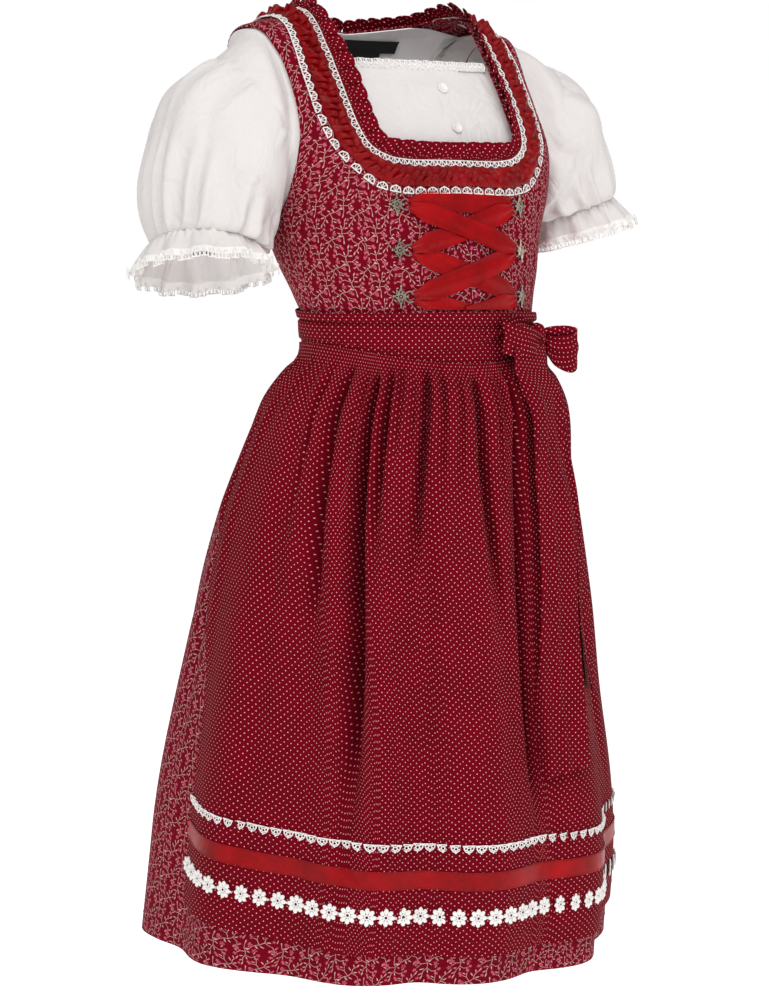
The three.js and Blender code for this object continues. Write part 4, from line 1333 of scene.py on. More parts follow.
# ------------------------------------------------------------------ rows of repeated motifs
def motif_row_tree() -> Tree:
    """Geometry nodes that set a motif on every point, turned by the point's own `aim`."""
    tree = bpy.data.node_groups.new("motif row", "GeometryNodeTree")
    sockets = {
        "Places": "NodeSocketGeometry",
        "Motif": "NodeSocketObject",
        "Size": FLOAT,
        "Unevenness": FLOAT,
        "Seed": "NodeSocketInt",
        "Finish": "NodeSocketMaterial",
    }
    for label, kind in sockets.items():
        tree.interface.new_socket(label, in_out="INPUT", socket_type=kind)
    tree.interface.new_socket("Row", in_out="OUTPUT", socket_type="NodeSocketGeometry")
    graph = Graph(tree)
    given = graph.add("NodeGroupInput").outputs
    motif = graph.add("GeometryNodeObjectInfo", {"Object": given["Motif"]}).outputs["Geometry"]
    aim = graph.add("GeometryNodeInputNamedAttribute", {"Name": "aim"}, data_type="QUATERNION").outputs[0]
    low = graph.math("MULTIPLY", given["Size"], graph.math("SUBTRACT", 1.0, given["Unevenness"]))
    high = graph.math("MULTIPLY", given["Size"], graph.math("ADD", 1.0, given["Unevenness"]))
    random = graph.add("FunctionNodeRandomValue", data_type="FLOAT")
    graph.join(low, random.inputs[2])
    graph.join(high, random.inputs[3])
    graph.join(given["Seed"], random.inputs["Seed"])
    setting = {"Points": given["Places"], "Instance": motif, "Rotation": aim, "Scale": random.outputs[1]}
    placed = graph.add("GeometryNodeInstanceOnPoints", setting).outputs[0]
    real = graph.add("GeometryNodeRealizeInstances", {0: placed}).outputs[0]
    finish = {"Geometry": real, "Material": given["Finish"]}
    dressed = graph.add("GeometryNodeSetMaterial", finish).outputs[0]
    graph.add("NodeGroupOutput", {"Row": dressed})
    return tree


@dataclass
class MotifRow:
    """One motif repeated at many places.

    The motif lies flat about its own middle: x along the row, y across it and z out of the cloth.
    """

    name: str
    motif: Pile
    middles: Array
    along: Array
    outward: Array
    size: float = 1.0
    unevenness: float = 0.0
    seed: int = 3

    def aims(self) -> Array:
        """Turn of each motif, as quaternions."""
        z = unit(self.outward)
        y = unit(np.cross(z, self.along))
        x = np.cross(y, z)
        turns = [Matrix((a, b, c)).transposed().to_quaternion() for a, b, c in zip(x, y, z)]
        return np.array([list(turn) for turn in turns], np.float32)

    def mesh(self, tree: Tree, material: Material) -> Mesh:
        """Runs the geometry nodes and keeps their result as a plain mesh.

        Args:
            tree: The motif row's nodes.
            material: Finish of the motifs.

        Returns:
            The mesh.
        """
        pattern = bpy.data.objects.new(self.name + "_motif", self.motif.mesh(self.name + "_motif"))
        places = bpy.data.meshes.new(self.name + "_places")
        places.from_pydata(self.middles.tolist(), [], [])
        aim = places.attributes.new("aim", "QUATERNION", "POINT")
        aim.data.foreach_set("value", self.aims().ravel())
        holder = bpy.data.objects.new(self.name + "_places", places)
        bpy.context.scene.collection.objects.link(holder)
        modifier = holder.modifiers.new("row", "NODES")
        modifier.node_group = tree
        values = {
            "Motif": pattern,
            "Size": self.size,
            "Unevenness": self.unevenness,
            "Seed": self.seed,
            "Finish": material,
        }
        for item in tree.interface.items_tree:
            if item.name in values and item.in_out == "INPUT":
                modifier[item.identifier] = values[item.name]
        done = holder.evaluated_get(bpy.context.evaluated_depsgraph_get())
        mesh = bpy.data.meshes.new_from_object(done)
        mesh.name = self.name
        holder.modifiers.remove(modifier)
        bpy.data.objects.remove(holder)
        bpy.data.objects.remove(pattern)
        return mesh

    def build(self, tree: Tree, material: Material, slot: str, node: str = "") -> Thing:
        """Makes the row.

        Args:
            tree: The motif row's nodes.
            material: Finish of the motifs.
            slot: Material slot of the record.
            node: The node that it replaces, if there is one.

        Returns:
            The row.
        """
        thing = show(self.name, self.mesh(tree, material), material, slot)
        if node:
            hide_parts(node)
        return thing


def along_strip(
    place: Place, shares: Array, across: float, out: float, half: float
) -> tuple[Array, Array, Array]:
    """Middles, directions and outward normals of places along a strip.

    Args:
        place: The strip's surface.
        shares: Shares of its length.
        across: Share of its width.
        out: Distance off its form.
        half: Half of the step that the directions are measured over.

    Returns:
        Middles in metres, directions and normals.
    """
    v = np.full_like(shares, across)
    level = np.full_like(shares, out)
    middles = leaned(place(shares, v, level))
    along = leaned(place(shares + half, v, level)) - leaned(place(shares - half, v, level))
    outward = leaned(place(shares, v, level + 2)) - middles
    return middles, along, outward


def even_places(place: Place, pitch: float, across: float = 0.5) -> Array:
    """Shares along a strip that are one pitch apart.

    Args:
        place: The strip's surface.
        pitch: Distance from motif to motif, in millimetres.
        across: Share of its width.

    Returns:
        The shares.
    """
    t = np.linspace(0, 1, STRIP_STEPS)
    points = place(t, np.full_like(t, across), np.full_like(t, STRIP_OUT))
    length = np.concatenate([[0], np.linalg.norm(np.diff(points, axis=0), axis=1).cumsum()])
    count = int(length[-1] // pitch)
    wanted = (np.arange(count) + 0.5) / count * length[-1]
    return np.interp(wanted, length, t)


def stitch_motif() -> Pile:
    """One stitch, a short thread whose ends dip into the cloth."""
    pile = Pile()
    path = np.array([[-1.1, 0, -0.25], [-0.7, 0, 0.1], [0.7, 0, 0.1], [1.1, 0, -0.25]])
    pile.add(*tube(path, 0.17, 4))
    return pile


@dataclass(frozen=True)
class Seam:
    """Row of stitches along a strip."""

    name: str
    place: Place
    across: float
    out: float
    pitch: float = 3.1

    def build(self, tree: Tree, thread: Material, slot: str) -> Thing:
        """Makes the row.

        Args:
            tree: The motif row's nodes.
            thread: Finish of the thread.
            slot: Material slot of the record.

        Returns:
            The row.
        """
        shares = even_places(self.place, self.pitch, self.across)
        middles, along, outward = along_strip(self.place, shares, self.across, self.out, 0.0008)
        row = MotifRow(self.name, stitch_motif(), middles, along, outward, unevenness=0.1, seed=21)
        return row.build(tree, thread, slot)


def daisy_motif(petals: int = 8) -> Pile:
    """Crochet daisy: padded petals round a ringed heart, with a bar to the next one."""
    pile = Pile()
    for i in range(petals):
        angle = 2 * math.pi * i / petals
        points, faces = ball((4.7, 0, 0.15), (2.9, 2.05, 1.0), 8, 5)
        pinch = 1 - 0.45 * smooth((4.6 - points[:, 0]) / 3)
        points[:, 1] *= pinch
        pile.add(points @ spun(angle), faces)
    pile.add(*tube(arc((0, 0, 0.6), 1.7, 0, 324, 10), 0.6, 5, True))
    for side in (-1, 1):
        pile.add(*tube(np.array([[6.8, side * 0.55, 0], [9.0, side * 0.45, 0]]), 0.42, 5))
    return pile


def scallop_motif(pitch: float, width: float) -> Pile:
    """One crochet scallop: a braided foot, a fan of three bars and a looped edge.

    Args:
        pitch: Length along the lace.
        width: Width of the lace.

    Returns:
        The motif, with its foot at negative y.
    """
    pile = Pile()
    half = pitch / 2
    foot = -width / 2 + 0.7
    steps = np.linspace(-half, half, 5)
    for phase in (0.8, math.pi + 0.8):
        y = foot + 0.38 * np.sin(steps / pitch * 4 * math.pi + phase)
        z = 0.45 + 0.25 * np.cos(steps / pitch * 4 * math.pi + phase)
        pile.add(*tube(np.stack([steps, y, z], -1), 0.42, 4))
    reach = width - 1.7
    rim = arc((0, 0, 0.4), 1.0, 0, 180, 8)
    rim[:, 0] *= half * 0.96
    rim[:, 1] = foot + 0.4 + reach * rim[:, 1]
    pile.add(*tube(rim, 0.52, 4))
    for lean in (-0.55, 0.0, 0.55):
        tip = [lean * half, foot + 0.4 + reach * math.cos(lean * 1.2) * 0.93, 0.4]
        pile.add(*tube(np.array([[lean * 0.9, foot + 0.3, 0.4], tip]), 0.4, 3))
    for angle in (35, 90, 145):
        x = math.cos(angle * DEGREE) * half * 0.98
        y = foot + 0.4 + reach * math.sin(angle * DEGREE) + 0.35
        pile.add(*ball((x, y, 0.4), (0.66, 0.66, 0.5), 5, 3))
    return pile


def fan_motif(pitch: float, width: float) -> Pile:
    """Fan of the apron's upper lace: a bar above, three loops that hang from it and a picot.

    Args:
        pitch: Length along the lace.
        width: Width of the lace.

    Returns:
        The motif, with its bar at negative y.
    """
    pile = Pile()
    half = pitch / 2
    top = -width / 2 + 0.6
    bar = np.array([[-half, top, 0.4], [half, top, 0.4]])
    pile.add(*tube(bar, 0.5, 5))
    for x, y, radius in ((-2.7, top + 2.1, 1.45), (0, top + 2.9, 1.6), (2.7, top + 2.1, 1.45)):
        pile.add(*tube(arc((x, y, 0.4), radius, 0, 320, 9), 0.5, 4, True))
    pile.add(*tube(arc((0, top + 1.4, 0.4), 4.1, 15, 165, 9), 0.45, 4))
    pile.add(*ball((0, top + 6.0, 0.4), (0.8, 0.9, 0.6), 6, 3))
    for side in (-1, 1):
        pile.add(*tube(np.array([[side * half * 0.97, top, 0.4], [side * 3.6, top + 2.4, 0.4]]), 0.45, 5))
    return pile


# ------------------------------------------------------------------ bodice
@dataclass
class Bodice:
    """Floral bodice of nine panels, with its back lining and the bare label."""

    kit: Wardrobe
    outer: float = 4.1
    thick: float = 1.0
    seam_dip: float = 0.8
    seam_reach: float = 1.8
    ridge_gap: float = 0.2
    lining_bottom: float = 194.0
    # Start, end, top row and height of the label and of its tab.
    label_cut: tuple[float, float, float, float] = (-30, 55, 44, 15)
    tab_cut: tuple[float, float, float, float] = (8, 40, 58, 11)
    pucker: float = 0.22

    def panel(self, near: Callable, far: Callable, top: float, side: int, width: float) -> Place:
        """Surface of one panel.

        Args:
            near: Edge nearer the front or back centre, as an angle.
            far: The other edge.
            top: Way down to the panel's highest row.
            side: 1 on the wearer's left and -1 on the right.
            width: Rough width, for the seams' dips.

        Returns:
            The surface, with v from the bottom up.
        """

        def place(u: Array, v: Array, out: Array) -> Array:
            down = lerp(BODICE_BOTTOM, top, v)
            edge = np.minimum(u, 1 - u) * width
            dip = self.seam_dip * bell(edge / self.seam_reach)
            pucker = self.pucker * np.exp(-edge / 7) * np.sin(down * 0.78 + 5 * side)
            return on_figure(side * lerp(near(down), far(down), u), down, out - dip + pucker)

        return place

    def centre_back(self, side: int, width: float) -> Place:
        """Surface of a centre back panel, whose top follows the back neck."""

        def place(u: Array, v: Array, out: Array) -> Array:
            down = lerp(BODICE_BOTTOM, BACK_ROW, v)
            inner_down = at_centre_back(down)
            edge = np.minimum(u, 1 - u) * width
            dip = self.seam_dip * bell(edge / self.seam_reach)
            turn = lerp(np.full_like(u, math.pi - SEAM_TURN), back_seam(down), u)
            return on_figure(side * turn, lerp(inner_down, down, u), out - dip)

        return place

    def build(self) -> None:
        """Makes the panels, the lining and the label."""
        middle = self.panel(lambda d: -centre_seam(d), centre_seam, NECK_ROW, 1, 90)
        front_edge = partial(side_edge, back=False)
        back_edge = partial(side_edge, back=True)
        self.add("bodice_front_centre", middle, 60, 50)
        for label, side in (("left", 1), ("right", -1)):
            parts = {
                "bodice_front_side": (self.panel(centre_seam, side_seam, NECK_ROW, side, 22), 12, 44),
                "bodice_side": (self.panel(side_seam, front_edge, self.ridge_gap, side, 60), 30, 84),
                "bodice_back_side": (self.panel(back_seam, back_edge, self.ridge_gap, side, 60), 30, 84),
                "bodice_back": (self.centre_back(side, 50), 26, 78),
            }
            for name, (place, columns, rows) in parts.items():
                self.add(f"{name}_{label}", place, columns, rows)
        self.line()

    def add(self, name: str, place: Place, columns: int, rows: int) -> None:
        """Makes one panel in place of its node."""
        cloth = Cloth(name + "_cloth", place, columns, rows, self.outer, self.thick)
        thing = cloth.build(self.kit.floral, "floral_cotton", name)
        declare(thing, Held.DRAPED)

    def line(self) -> None:
        """Makes the lining inside the back neck, and the label sewn on it."""

        def lining(u: Array, v: Array, out: Array) -> Array:
            down = lerp(self.lining_bottom, BACK_ROW, v)
            side = 2 * u - 1
            reach = np.abs(side) * 2
            inner_down = at_centre_back(down)
            inner = lerp(math.pi, back_seam(down), np.minimum(reach, 1))
            wide = lerp(back_seam(down), side_edge(down, True), np.maximum(reach - 1, 0) * 0.72)
            turn = np.where(reach <= 1, inner, wide)
            way = lerp(inner_down, down, np.minimum(reach, 1))
            wrinkle = 0.35 * np.sin(side * 9 + down * 0.05) * np.sin(down * 0.09)
            return on_figure(np.where(side < 0, -1, 1) * turn, way, out + wrinkle * 0.4)

        cloth = Cloth("back_lining_cloth", lining, 60, 50, 1.7, 0.8)
        # The lining wears the brighter copy of the white cotton, painted light for the shaded back neck.
        thing = cloth.build(self.kit.lining, "white_cotton", "back_lining")
        label = self.label()
        declare(thing, Held.DRAPED)

    def label(self) -> Thing:
        """Makes the bare woven label with its small tab."""

        def strip(start: float, end: float, top: float, height: float) -> Place:
            def place(u: Array, v: Array, out: Array) -> Array:
                sag = 0.5 * np.sin(math.pi * u)
                return at_x(lerp(start, end, u), -(top + height * (1 - v)) - sag, out)

            return place

        tab = Cloth("neck_label_tab", strip(*self.tab_cut), 8, 4, -2.0, 0.4)
        small = tab.build(self.kit.black, "black_label")
        declare(small, Held.LAID)
        cloth = Cloth("neck_label_cloth", strip(*self.label_cut), 20, 6, -1.2, 0.5)
        thing = cloth.build(self.kit.black, "black_label", "neck_label")
        declare(thing, Held.LAID)
        return thing


# ------------------------------------------------------------------ neckline
@dataclass
class Neckline:
    """Pleated ruffle, two crochet laces and the gathered satin between them."""

    kit: Wardrobe
    rows_of: Tree
    pleats: int = 46
    pleat_depth: float = 5.6
    ruffle_lift: float = 1.5
    ruffle_stand: float = 2.5
    scallops: int = 78
    zigzags: int = 30
    puff: float = 5.0
    shoulder_puff: float = 2.4

    def band(self, start: float, end: float) -> Place:
        """Flat surface between two shares of the width outside the ruffle."""

        def place(u: Array, v: Array, out: Array) -> Array:
            station = neck_station(u)
            foot = ruffle_share(station)
            return on_neckband(station, foot + (1 - foot) * lerp(start, end, v), out)

        return place

    def ruffle(self, u: Array, v: Array, out: Array) -> Array:
        """Surface of the pleated ruffle; its free edge at v = 0 stands up."""
        flare = np.clip(1 - v / 0.8, 0, 1) ** 0.8
        phase = 2 * math.pi * self.pleats * u
        overlap = 0.4 * (0.3 + 0.7 * flare) * (1 - smooth((v - 0.72) / 0.1)) / self.pleats
        station = neck_station(np.clip(u - overlap * np.sin(phase + 0.9), 0, 1))
        foot = ruffle_share(station)
        depth = self.pleat_depth * ripple(phase) * (1 + 0.22 * np.sin(u * 47 + 1.0))
        flare = (0.4 + 0.6 * flare) * (1 - smooth((v - 0.72) / 0.1))
        rise = flare * (self.ruffle_lift + self.ruffle_stand * standing(station) + depth)
        edge = 0.035 * np.cos(phase + 0.9) * (1 - v)
        return on_neckband(station, lerp(-0.06, foot - 0.01, v) + edge, out + rise)

    def ruche(self, u: Array, v: Array, out: Array) -> Array:
        """Surface of the satin, sewn down along a zigzag line so that it puffs on both sides."""
        pleat = 2 * math.pi * (self.zigzags * 4 * u + 0.25 * np.sin(5 * v + 9 * u))
        overlap = 0.2 / (self.zigzags * 4)
        station = neck_station(np.clip(u - overlap * np.sin(pleat + 0.7), 0, 1))
        foot = ruffle_share(station)
        phase = (self.zigzags * u) % 1.0
        line = 0.5 + 0.40 * (1 - 4 * np.abs(phase - 0.5))
        away = np.abs(v - line)
        height = self.puff + self.shoulder_puff * standing(station)
        edge = np.sin(math.pi * v) ** 0.45
        puff = smooth(away / 0.34) * edge
        swell = height * (0.12 + 0.88 * puff) * edge * (0.3 + 0.7 * ripple(pleat))
        wander = 0.018 * np.cos(2 * math.pi * self.zigzags * u) * (2 * v - 1)
        across = foot + (1 - foot) * (lerp(0.2, 0.79, v) + wander)
        return on_neckband(station, across, np.where(out > TRIM + 0.6, out + swell, out + 0.7 * swell))

    def build(self) -> None:
        """Makes the trims."""
        columns = self.pleats * 14
        ruffle = Cloth("neck_ruffle_cloth", self.ruffle, columns, 10, TRIM + 0.9, 0.7, gathered=True)
        frill = ruffle.build(self.kit.dotted, "dotted_cotton", "neck_ruffle")
        for label, across in (("upper", 0.84), ("lower", 0.93)):
            seam = Seam(f"ruffle_seam_{label}", self.ruffle, across, TRIM + 1.0)
            seam.build(self.rows_of, self.kit.stitch, "dotted_cotton")
        declare(frill, Held.GATHERED)
        ruche = Cloth("neck_ruche_cloth", self.ruche, self.zigzags * 24, 14, TRIM + 1.2, 0.7)
        # The ruche wears the darker copy of the satin, painted shade for its creases.
        satin = ruche.build(self.kit.shaded_ruched, "red_satin", "neck_ruche")
        declare(satin, Held.GATHERED)
        self.lace("neck_lace_inner", 0.0, 0.2, -1)
        self.lace("neck_lace_outer", 0.81, 1.0, 1)

    def lace(self, name: str, start: float, end: float, side: int) -> None:
        """Makes one crochet lace whose scallops point away from the satin.

        Args:
            name: The node that it replaces.
            start: Share of the width where it starts.
            end: Share where it ends.
            side: 1 if the scallops point outwards.
        """
        place = self.band(start, end)
        shares = (np.arange(self.scallops) + 0.5) / self.scallops
        level = TRIM + 0.35
        middles, along, outward = along_strip(place, shares, 0.5, level, 0.3 / self.scallops)
        motif = scallop_motif(9.6, 6.4)
        row = MotifRow(name + "_crochet", motif, middles, along * side, outward, unevenness=0.04, seed=5)
        row.build(self.rows_of, self.kit.lace, "white_lace", name)


# ------------------------------------------------------------------ hooks and lacing
@dataclass
class Lacing:
    """Six filigree hooks and the satin ribbon laced between them."""

    kit: Wardrobe
    hooks: tuple[tuple[float, float], ...] = ((61.7, 207.5), (60.4, 245.0), (59.8, 282.0))
    plate_sides: int = 32
    reach: float = 9.0
    width: float = 17.0
    end_width: float = 8.0
    bottom: float = 292.5
    hook_out: float = 4.3
    ribbon_out: float = TRIM + 0.55
    layer_step: float = 1.3
    # Side, hook and shift at each end, and the layer that the stretch lies in.
    runs: tuple[tuple[float, int, float, float, int, float, int], ...] = (
        (-1, 0, 2, 1, 0, 2, 0),
        (-1, 0, -2, 1, 1, 1, 2),
        (1, 0, -2, -1, 1, 1, 1),
        (-1, 1, -2, 1, 2, 1, 0),
        (1, 1, -2, -1, 2, 1, 1),
        (-1, 2, -2, 0.1, 2, -16, 0),
        (1, 2, -2, -0.1, 2, -16, 1),
    )

    def plate(self) -> tuple[Array, Faces]:
        """Lozenge with hollow sides that backs a hook."""
        count = self.plate_sides
        spin = np.linspace(0, 2 * math.pi, count, endpoint=False)
        reach = 3.9 + 3.2 * np.abs(np.cos(2 * spin)) ** 2.2
        rim = np.stack([0.6 + 0.86 * reach * np.cos(spin), 1.1 * reach * np.sin(spin)], -1)
        points = np.vstack([np.c_[rim, np.full(count, 0.1)], np.c_[rim * 0.96, np.full(count, 0.6)]])
        sides = [(k, (k + 1) % count, count + (k + 1) % count, count + k) for k in range(count)]
        return points, [tuple(range(count))[::-1], tuple(range(count, 2 * count)), *sides]

    def filigree(self, side: int) -> Pile:
        """One hook, lying flat with its open ring towards centre front.

        Args:
            side: 1 on the wearer's left.

        Returns:
            The hook in millimetres.
        """
        pile = Pile()
        pile.add(*self.plate())
        tips = [(-5.4, 0), (0.8, 8.6), (6.2, 0), (0.8, -8.6)]
        for i, (x, y) in enumerate(tips):
            after = tips[(i + 1) % 4]
            middle = ((x + after[0]) / 2 * 0.62, (y + after[1]) / 2 * 0.62)
            path = np.array([[x, y, 0.9], [*middle, 1.1], [*after, 0.9]], float)
            pile.add(*tube(self.rounded(path), 0.55, 6))
            pile.add(*ball((x, y, 1.1), (1.15, 1.15, 1.1), 8, 6))
        pile.add(*tube(arc((0.6, 0, 1.5), 2.0, 0, 330, 12), 0.5, 6, True))
        pile.add(*ball((0.6, 0, 1.5), (1.0, 1.0, 0.9), 8, 6))
        for turn in range(0, 360, 45):
            x = 0.6 + 3.3 * math.cos(turn * DEGREE)
            y = 3.8 * math.sin(turn * DEGREE)
            pile.add(*tube(arc((x, y, 1.1), 1.2, turn, turn + 300, 9), 0.36, 5))
        pile.add(*tube(arc((8.2, 0, 1.1), 4.4, 62, 298, 14), 0.75, 6))
        flip = np.array([-side, 1, 1])
        pile.points = [points * flip for points in pile.points]
        if side > 0:
            pile.faces = [face[::-1] for face in pile.faces]
        return pile

    @staticmethod
    def rounded(path: Array) -> Array:
        """Quadratic curve through three points."""
        t = np.linspace(0, 1, 9)[:, None]
        control = 2 * path[1] - 0.5 * (path[0] + path[2])
        return (1 - t) ** 2 * path[0] + 2 * t * (1 - t) * control + t**2 * path[2]

    def build(self) -> None:
        """Makes the hooks and the seven stretches of ribbon."""
        for label, side in (("right", -1), ("left", 1)):
            for i, (x, down) in enumerate(self.hooks):
                pile = self.filigree(side)
                pile.set_on_form(side * x, down, self.hook_out)
                name = f"hook_{label}_{i + 1}"
                mesh = pile.mesh(name, 1.0)
                mesh.materials.append(self.kit.silver)
                mesh.materials.append(self.kit.patina)
                backing = np.arange(len(mesh.polygons)) < self.plate_sides + 2
                mesh.polygons.foreach_set("material_index", backing.astype(np.int32))
                thing = show(name + "_filigree", mesh, self.kit.silver, "silver_metal")
                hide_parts(name)
        for number in range(len(self.runs)):
            self.stretch(number)

    def stretch(self, number: int) -> None:
        """Makes one stretch of ribbon, pinched at its hooks and softly folded between them."""
        side, row, shift, to, to_row, to_shift, layer = self.runs[number]
        eyes = [x - self.reach - 1.5 for x, _ in self.hooks]
        start = np.array([side * eyes[row], self.hooks[row][1] - shift])
        end = np.array([to * eyes[to_row], self.hooks[to_row][1] - to_shift])
        way = (end - start) / np.linalg.norm(end - start)
        aside = np.array([way[1], -way[0]])
        free = abs(to) < 1

        def place(u: Array, v: Array, out: Array) -> Array:
            reach = v if free else np.minimum(v, 1 - v)
            taper = smooth(reach / (0.3 if free else 0.16))
            across = (u - 0.5) * lerp(self.end_width, self.width, taper)
            x = start[0] + (end[0] - start[0]) * v + aside[0] * across
            down = start[1] + (end[1] - start[1]) * v + aside[1] * across
            pinch = (1 - taper) * 0.7 * np.cos(4 * math.pi * u)
            soft = 0.32 * taper * np.sin(2 * math.pi * (1.4 * u + 0.5 * v + 0.3 * number))
            return at_x(x, np.minimum(down, self.bottom), out + pinch + soft)

        base = self.ribbon_out + layer * self.layer_step
        cloth = Cloth(f"lacing_{number + 1}_ribbon", place, 14, 48, base + 0.5, 0.45)
        thing = cloth.build(self.kit.satin, "red_satin", f"lacing_{number + 1}")
        declare(thing, Held.STRETCHED)


# ------------------------------------------------------------------ blouse
@dataclass(frozen=True)
class Arm:
    """How one arm of the blouse hangs."""

    label: str
    side: int
    drop: float
    inward: float
    flare: float
    axis: tuple[float, float, float]


@dataclass
class Blouse:
    """White blouse: wrapped front with two buttons, low back, puffed sleeves with lace."""

    kit: Wardrobe
    rows_of: Tree
    inset: float = 2.5
    bottom: float = 270.0
    neck: float = 79.0
    lace: float = 9.0
    lace_reach: float = 70.0
    button_x: float = 14.0
    button_rows: tuple[float, ...] = (100, 139)
    # Radius and height along the section of a button.
    button_section: tuple[tuple[float, float], ...] = (
        (0, 0), (4.2, 0), (5, 0.7), (5, 1.5), (4.5, 2.1), (3.9, 2.1), (3.3, 1.5), (0, 1.35),
    )
    cuff_radius: float = 40.5
    cuff_centre: tuple[float, float, float] = (191.0, -25.0, -177.5)
    flounce: float = 19.0
    cuff_lace: float = 10.0
    neck_scallops: int = 26
    cuff_scallops: int = 56
    waves: int = 12
    wave_depth: float = 4.6
    arms: tuple[Arm, ...] = (
        Arm("right", -1, 2, 0, 18, (0.15, -0.32, -0.94)),
        Arm("left", 1, -13, 8, 14, (0.2, -0.15, -0.97)),
    )
    # Way down at the placket or neck edge, x of the neck edge or 0 on the placket, way down at the side.
    front_rows: tuple[tuple[float, float, float], ...] = (
        (270, 0, 270),
        (240, 0, 250),
        (200, 0, 222),
        (165, 0, 214),
        (130, 0, 203),
        (100, 0, 190),
        (79, 0, 174),
        (79, 60, 150),
        (79, 73, 124),
        (72, 77, 98),
        (50, 80, 66),
        (25, 83, 32),
        (0.2, 84, 0.2),
    )
    placket: Table = field(default_factory=lambda: Table([[66, 43], [151, 22], [275, 12]]))
    # Section, top and underarm points, the middle's y, half depth.
    sleeve: Table = field(
        default_factory=lambda: Table(
            [
                [0, 132, -18, 129, -168, -16, 50],
                [1, 143, -23, 128.5, -173, -15, 54],
                [2, 157, -32, 128, -176, -15, 58],
                [3, 172, -40, 127.5, -178, -14, 61],
                [4, 188, -47, 127, -180, -12, 64],
                [5, 202, -57, 127, -182, -10, 65],
                [6, 211, -72, 128, -184, -9, 65],
                [7, 217, -92, 129, -186, -9, 64],
                [8, 224, -114, 130, -188, -10, 62],
                [9, 230, -143, 134, -190, -14, 62],
                [10, 232, -161, 142, -188, -20, 55],
                [11, 229, -172, 152, -183, -25, 41],
            ]
        )
    )

    def front(self, side: int) -> Place:
        """Surface of one blouse front, from the bottom up."""
        table = np.array(self.front_rows)
        on_placket = self.placket(table[:, 0])[0]
        edge_x = np.where(table[:, 1] == 0, on_placket, side * table[:, 1])
        number = np.arange(len(table))

        def place(u: Array, v: Array, out: Array) -> Array:
            row = v * (len(table) - 1)
            inner = np.interp(row, number, table[:, 0])
            x = np.interp(row, number, edge_x)
            outer = np.interp(row, number, table[:, 2])
            turn = lerp(turn_at(x, inner), side * side_edge(outer, False, self.inset), u)
            down = lerp(inner, outer, u)
            fold = 0.9 * bell((down - 95) / 40) * np.sin(turn * 38 + side) * np.minimum(1, u * 6)
            pull = 0.8 * bell((down - 120) / 26) * np.sin(down * 0.32 + turn * 9)
            return on_figure(turn, down, out + 0.5 * fold + 0.4 * pull * np.minimum(1, u * 8))

        return place

    def back(self, u: Array, v: Array, out: Array) -> Array:
        """Surface of the blouse's low back."""
        side = 2 * u - 1
        share = np.abs(side) ** 0.75
        top = 112 * np.sqrt(np.maximum(0, 1 - (share / 0.69) ** 4))
        down = lerp(self.bottom, np.maximum(0.2, top), v)
        edge = math.pi - side_edge(down, True, self.inset)
        turn = math.pi - edge * share**0.9
        return on_figure(np.where(side < 0, -1, 1) * turn, down, out - 2.8 * (1 - share**4))

    def on_arm(self, here: Array, share: Array, arm: Arm) -> Array:
        """Moves a point of the left arm to where the given arm hangs."""
        sag = smooth(share)
        z = here[..., 2] + here[..., 0] * LEAN * arm.side * sag - arm.drop * sag
        x = arm.side * (here[..., 0] - arm.inward * sag)
        return np.stack([x, here[..., 1], z], -1)

    def on_armhole(self, angle: Array, beyond: float, out: Array) -> Array:
        """Point of the armhole's loop, `beyond` mm past the bodice's edge."""
        back = np.sin(angle) < 0
        below = ripple(angle)
        down = UNDERARM * below
        front_turn, back_turn = ARMHOLE(down)
        from_middle = (90 - np.where(back, back_turn, front_turn)) * DEGREE
        rise = smooth((below - 0.85) / 0.15)
        inward = np.maximum(0.0016, from_middle - (beyond / ARMHOLE_RADIUS) * (1 - rise))
        turn = math.pi / 2 + np.where(back, inward, -inward)
        return on_figure(turn, np.clip(down - beyond * rise, 0.1, UNDERARM - 0.6), out)

    def on_cuff(self, angle: Array, reach: Array, out: Array, arm: Arm) -> Array:
        """Point of the elastic or, `reach` mm below it, of the flounce."""
        axis = unit(np.array(arm.axis))
        outward = unit(np.cross([0, -1, 0], axis))
        ahead = unit(np.cross(axis, outward))
        share = np.clip(reach / (self.flounce + self.cuff_lace), 0, None)
        warped = angle + 0.07 * np.sin(3 * angle + arm.side)
        wave = (self.wave_depth * share + 0.5) * np.cos(self.waves * warped)
        gather = 1.3 * np.exp(-np.abs(reach) / 11) * np.cos(40 * warped)
        radius = self.cuff_radius + arm.flare * share**0.8 + wave * np.minimum(1, share * 4) + gather + out
        centre = np.array(self.cuff_centre)
        ring = outward * (radius * np.cos(angle))[..., None] + ahead * (radius * np.sin(angle))[..., None]
        return centre + axis * np.asarray(reach)[..., None] + ring

    def gathers(self, angle: Array, share: Array, arm: Arm) -> Array:
        """How far the sleeve's gathers stand out: uneven folds from the head and from the elastic."""
        warped = angle + 0.10 * np.sin(3 * angle + arm.side) + 0.05 * np.sin(8 * angle)
        seam = 0.25 * np.maximum(0.0, np.cos(0.9 * np.abs(wrapped(angle)))) ** 0.6
        on_top = 0.5 + 0.5 * np.cos(angle)
        below = np.maximum(0.0, share - seam)
        head = on_top * smooth(below / 0.02) * np.exp(-below / 0.09)
        long_head = on_top * smooth(below / 0.05) * bell(below / 0.3)
        cuff = bell((share - 0.96) / 0.11)
        long_cuff = bell((share - 0.84) / 0.2)
        folds = 2.2 * head * np.cos(34 * warped) + 2.6 * long_head * np.cos(13 * warped + 0.7)
        folds = folds - 1.8 * on_top * bell((share - seam) / 0.016)
        folds = folds + 2.0 * cuff * np.cos(38 * warped) + 4.2 * long_cuff * np.cos(17 * warped + 1.1)
        puff = 3.2 * bell((share - 0.5) / 0.3) * np.cos(5 * warped + 1.3 * arm.side)
        return (folds + puff) * smooth(share * 9) * smooth((1 - share) * 22)

    def on_sleeve(self, arm: Arm) -> Place:
        """Surface of one puffed sleeve, from the armhole to the elastic."""

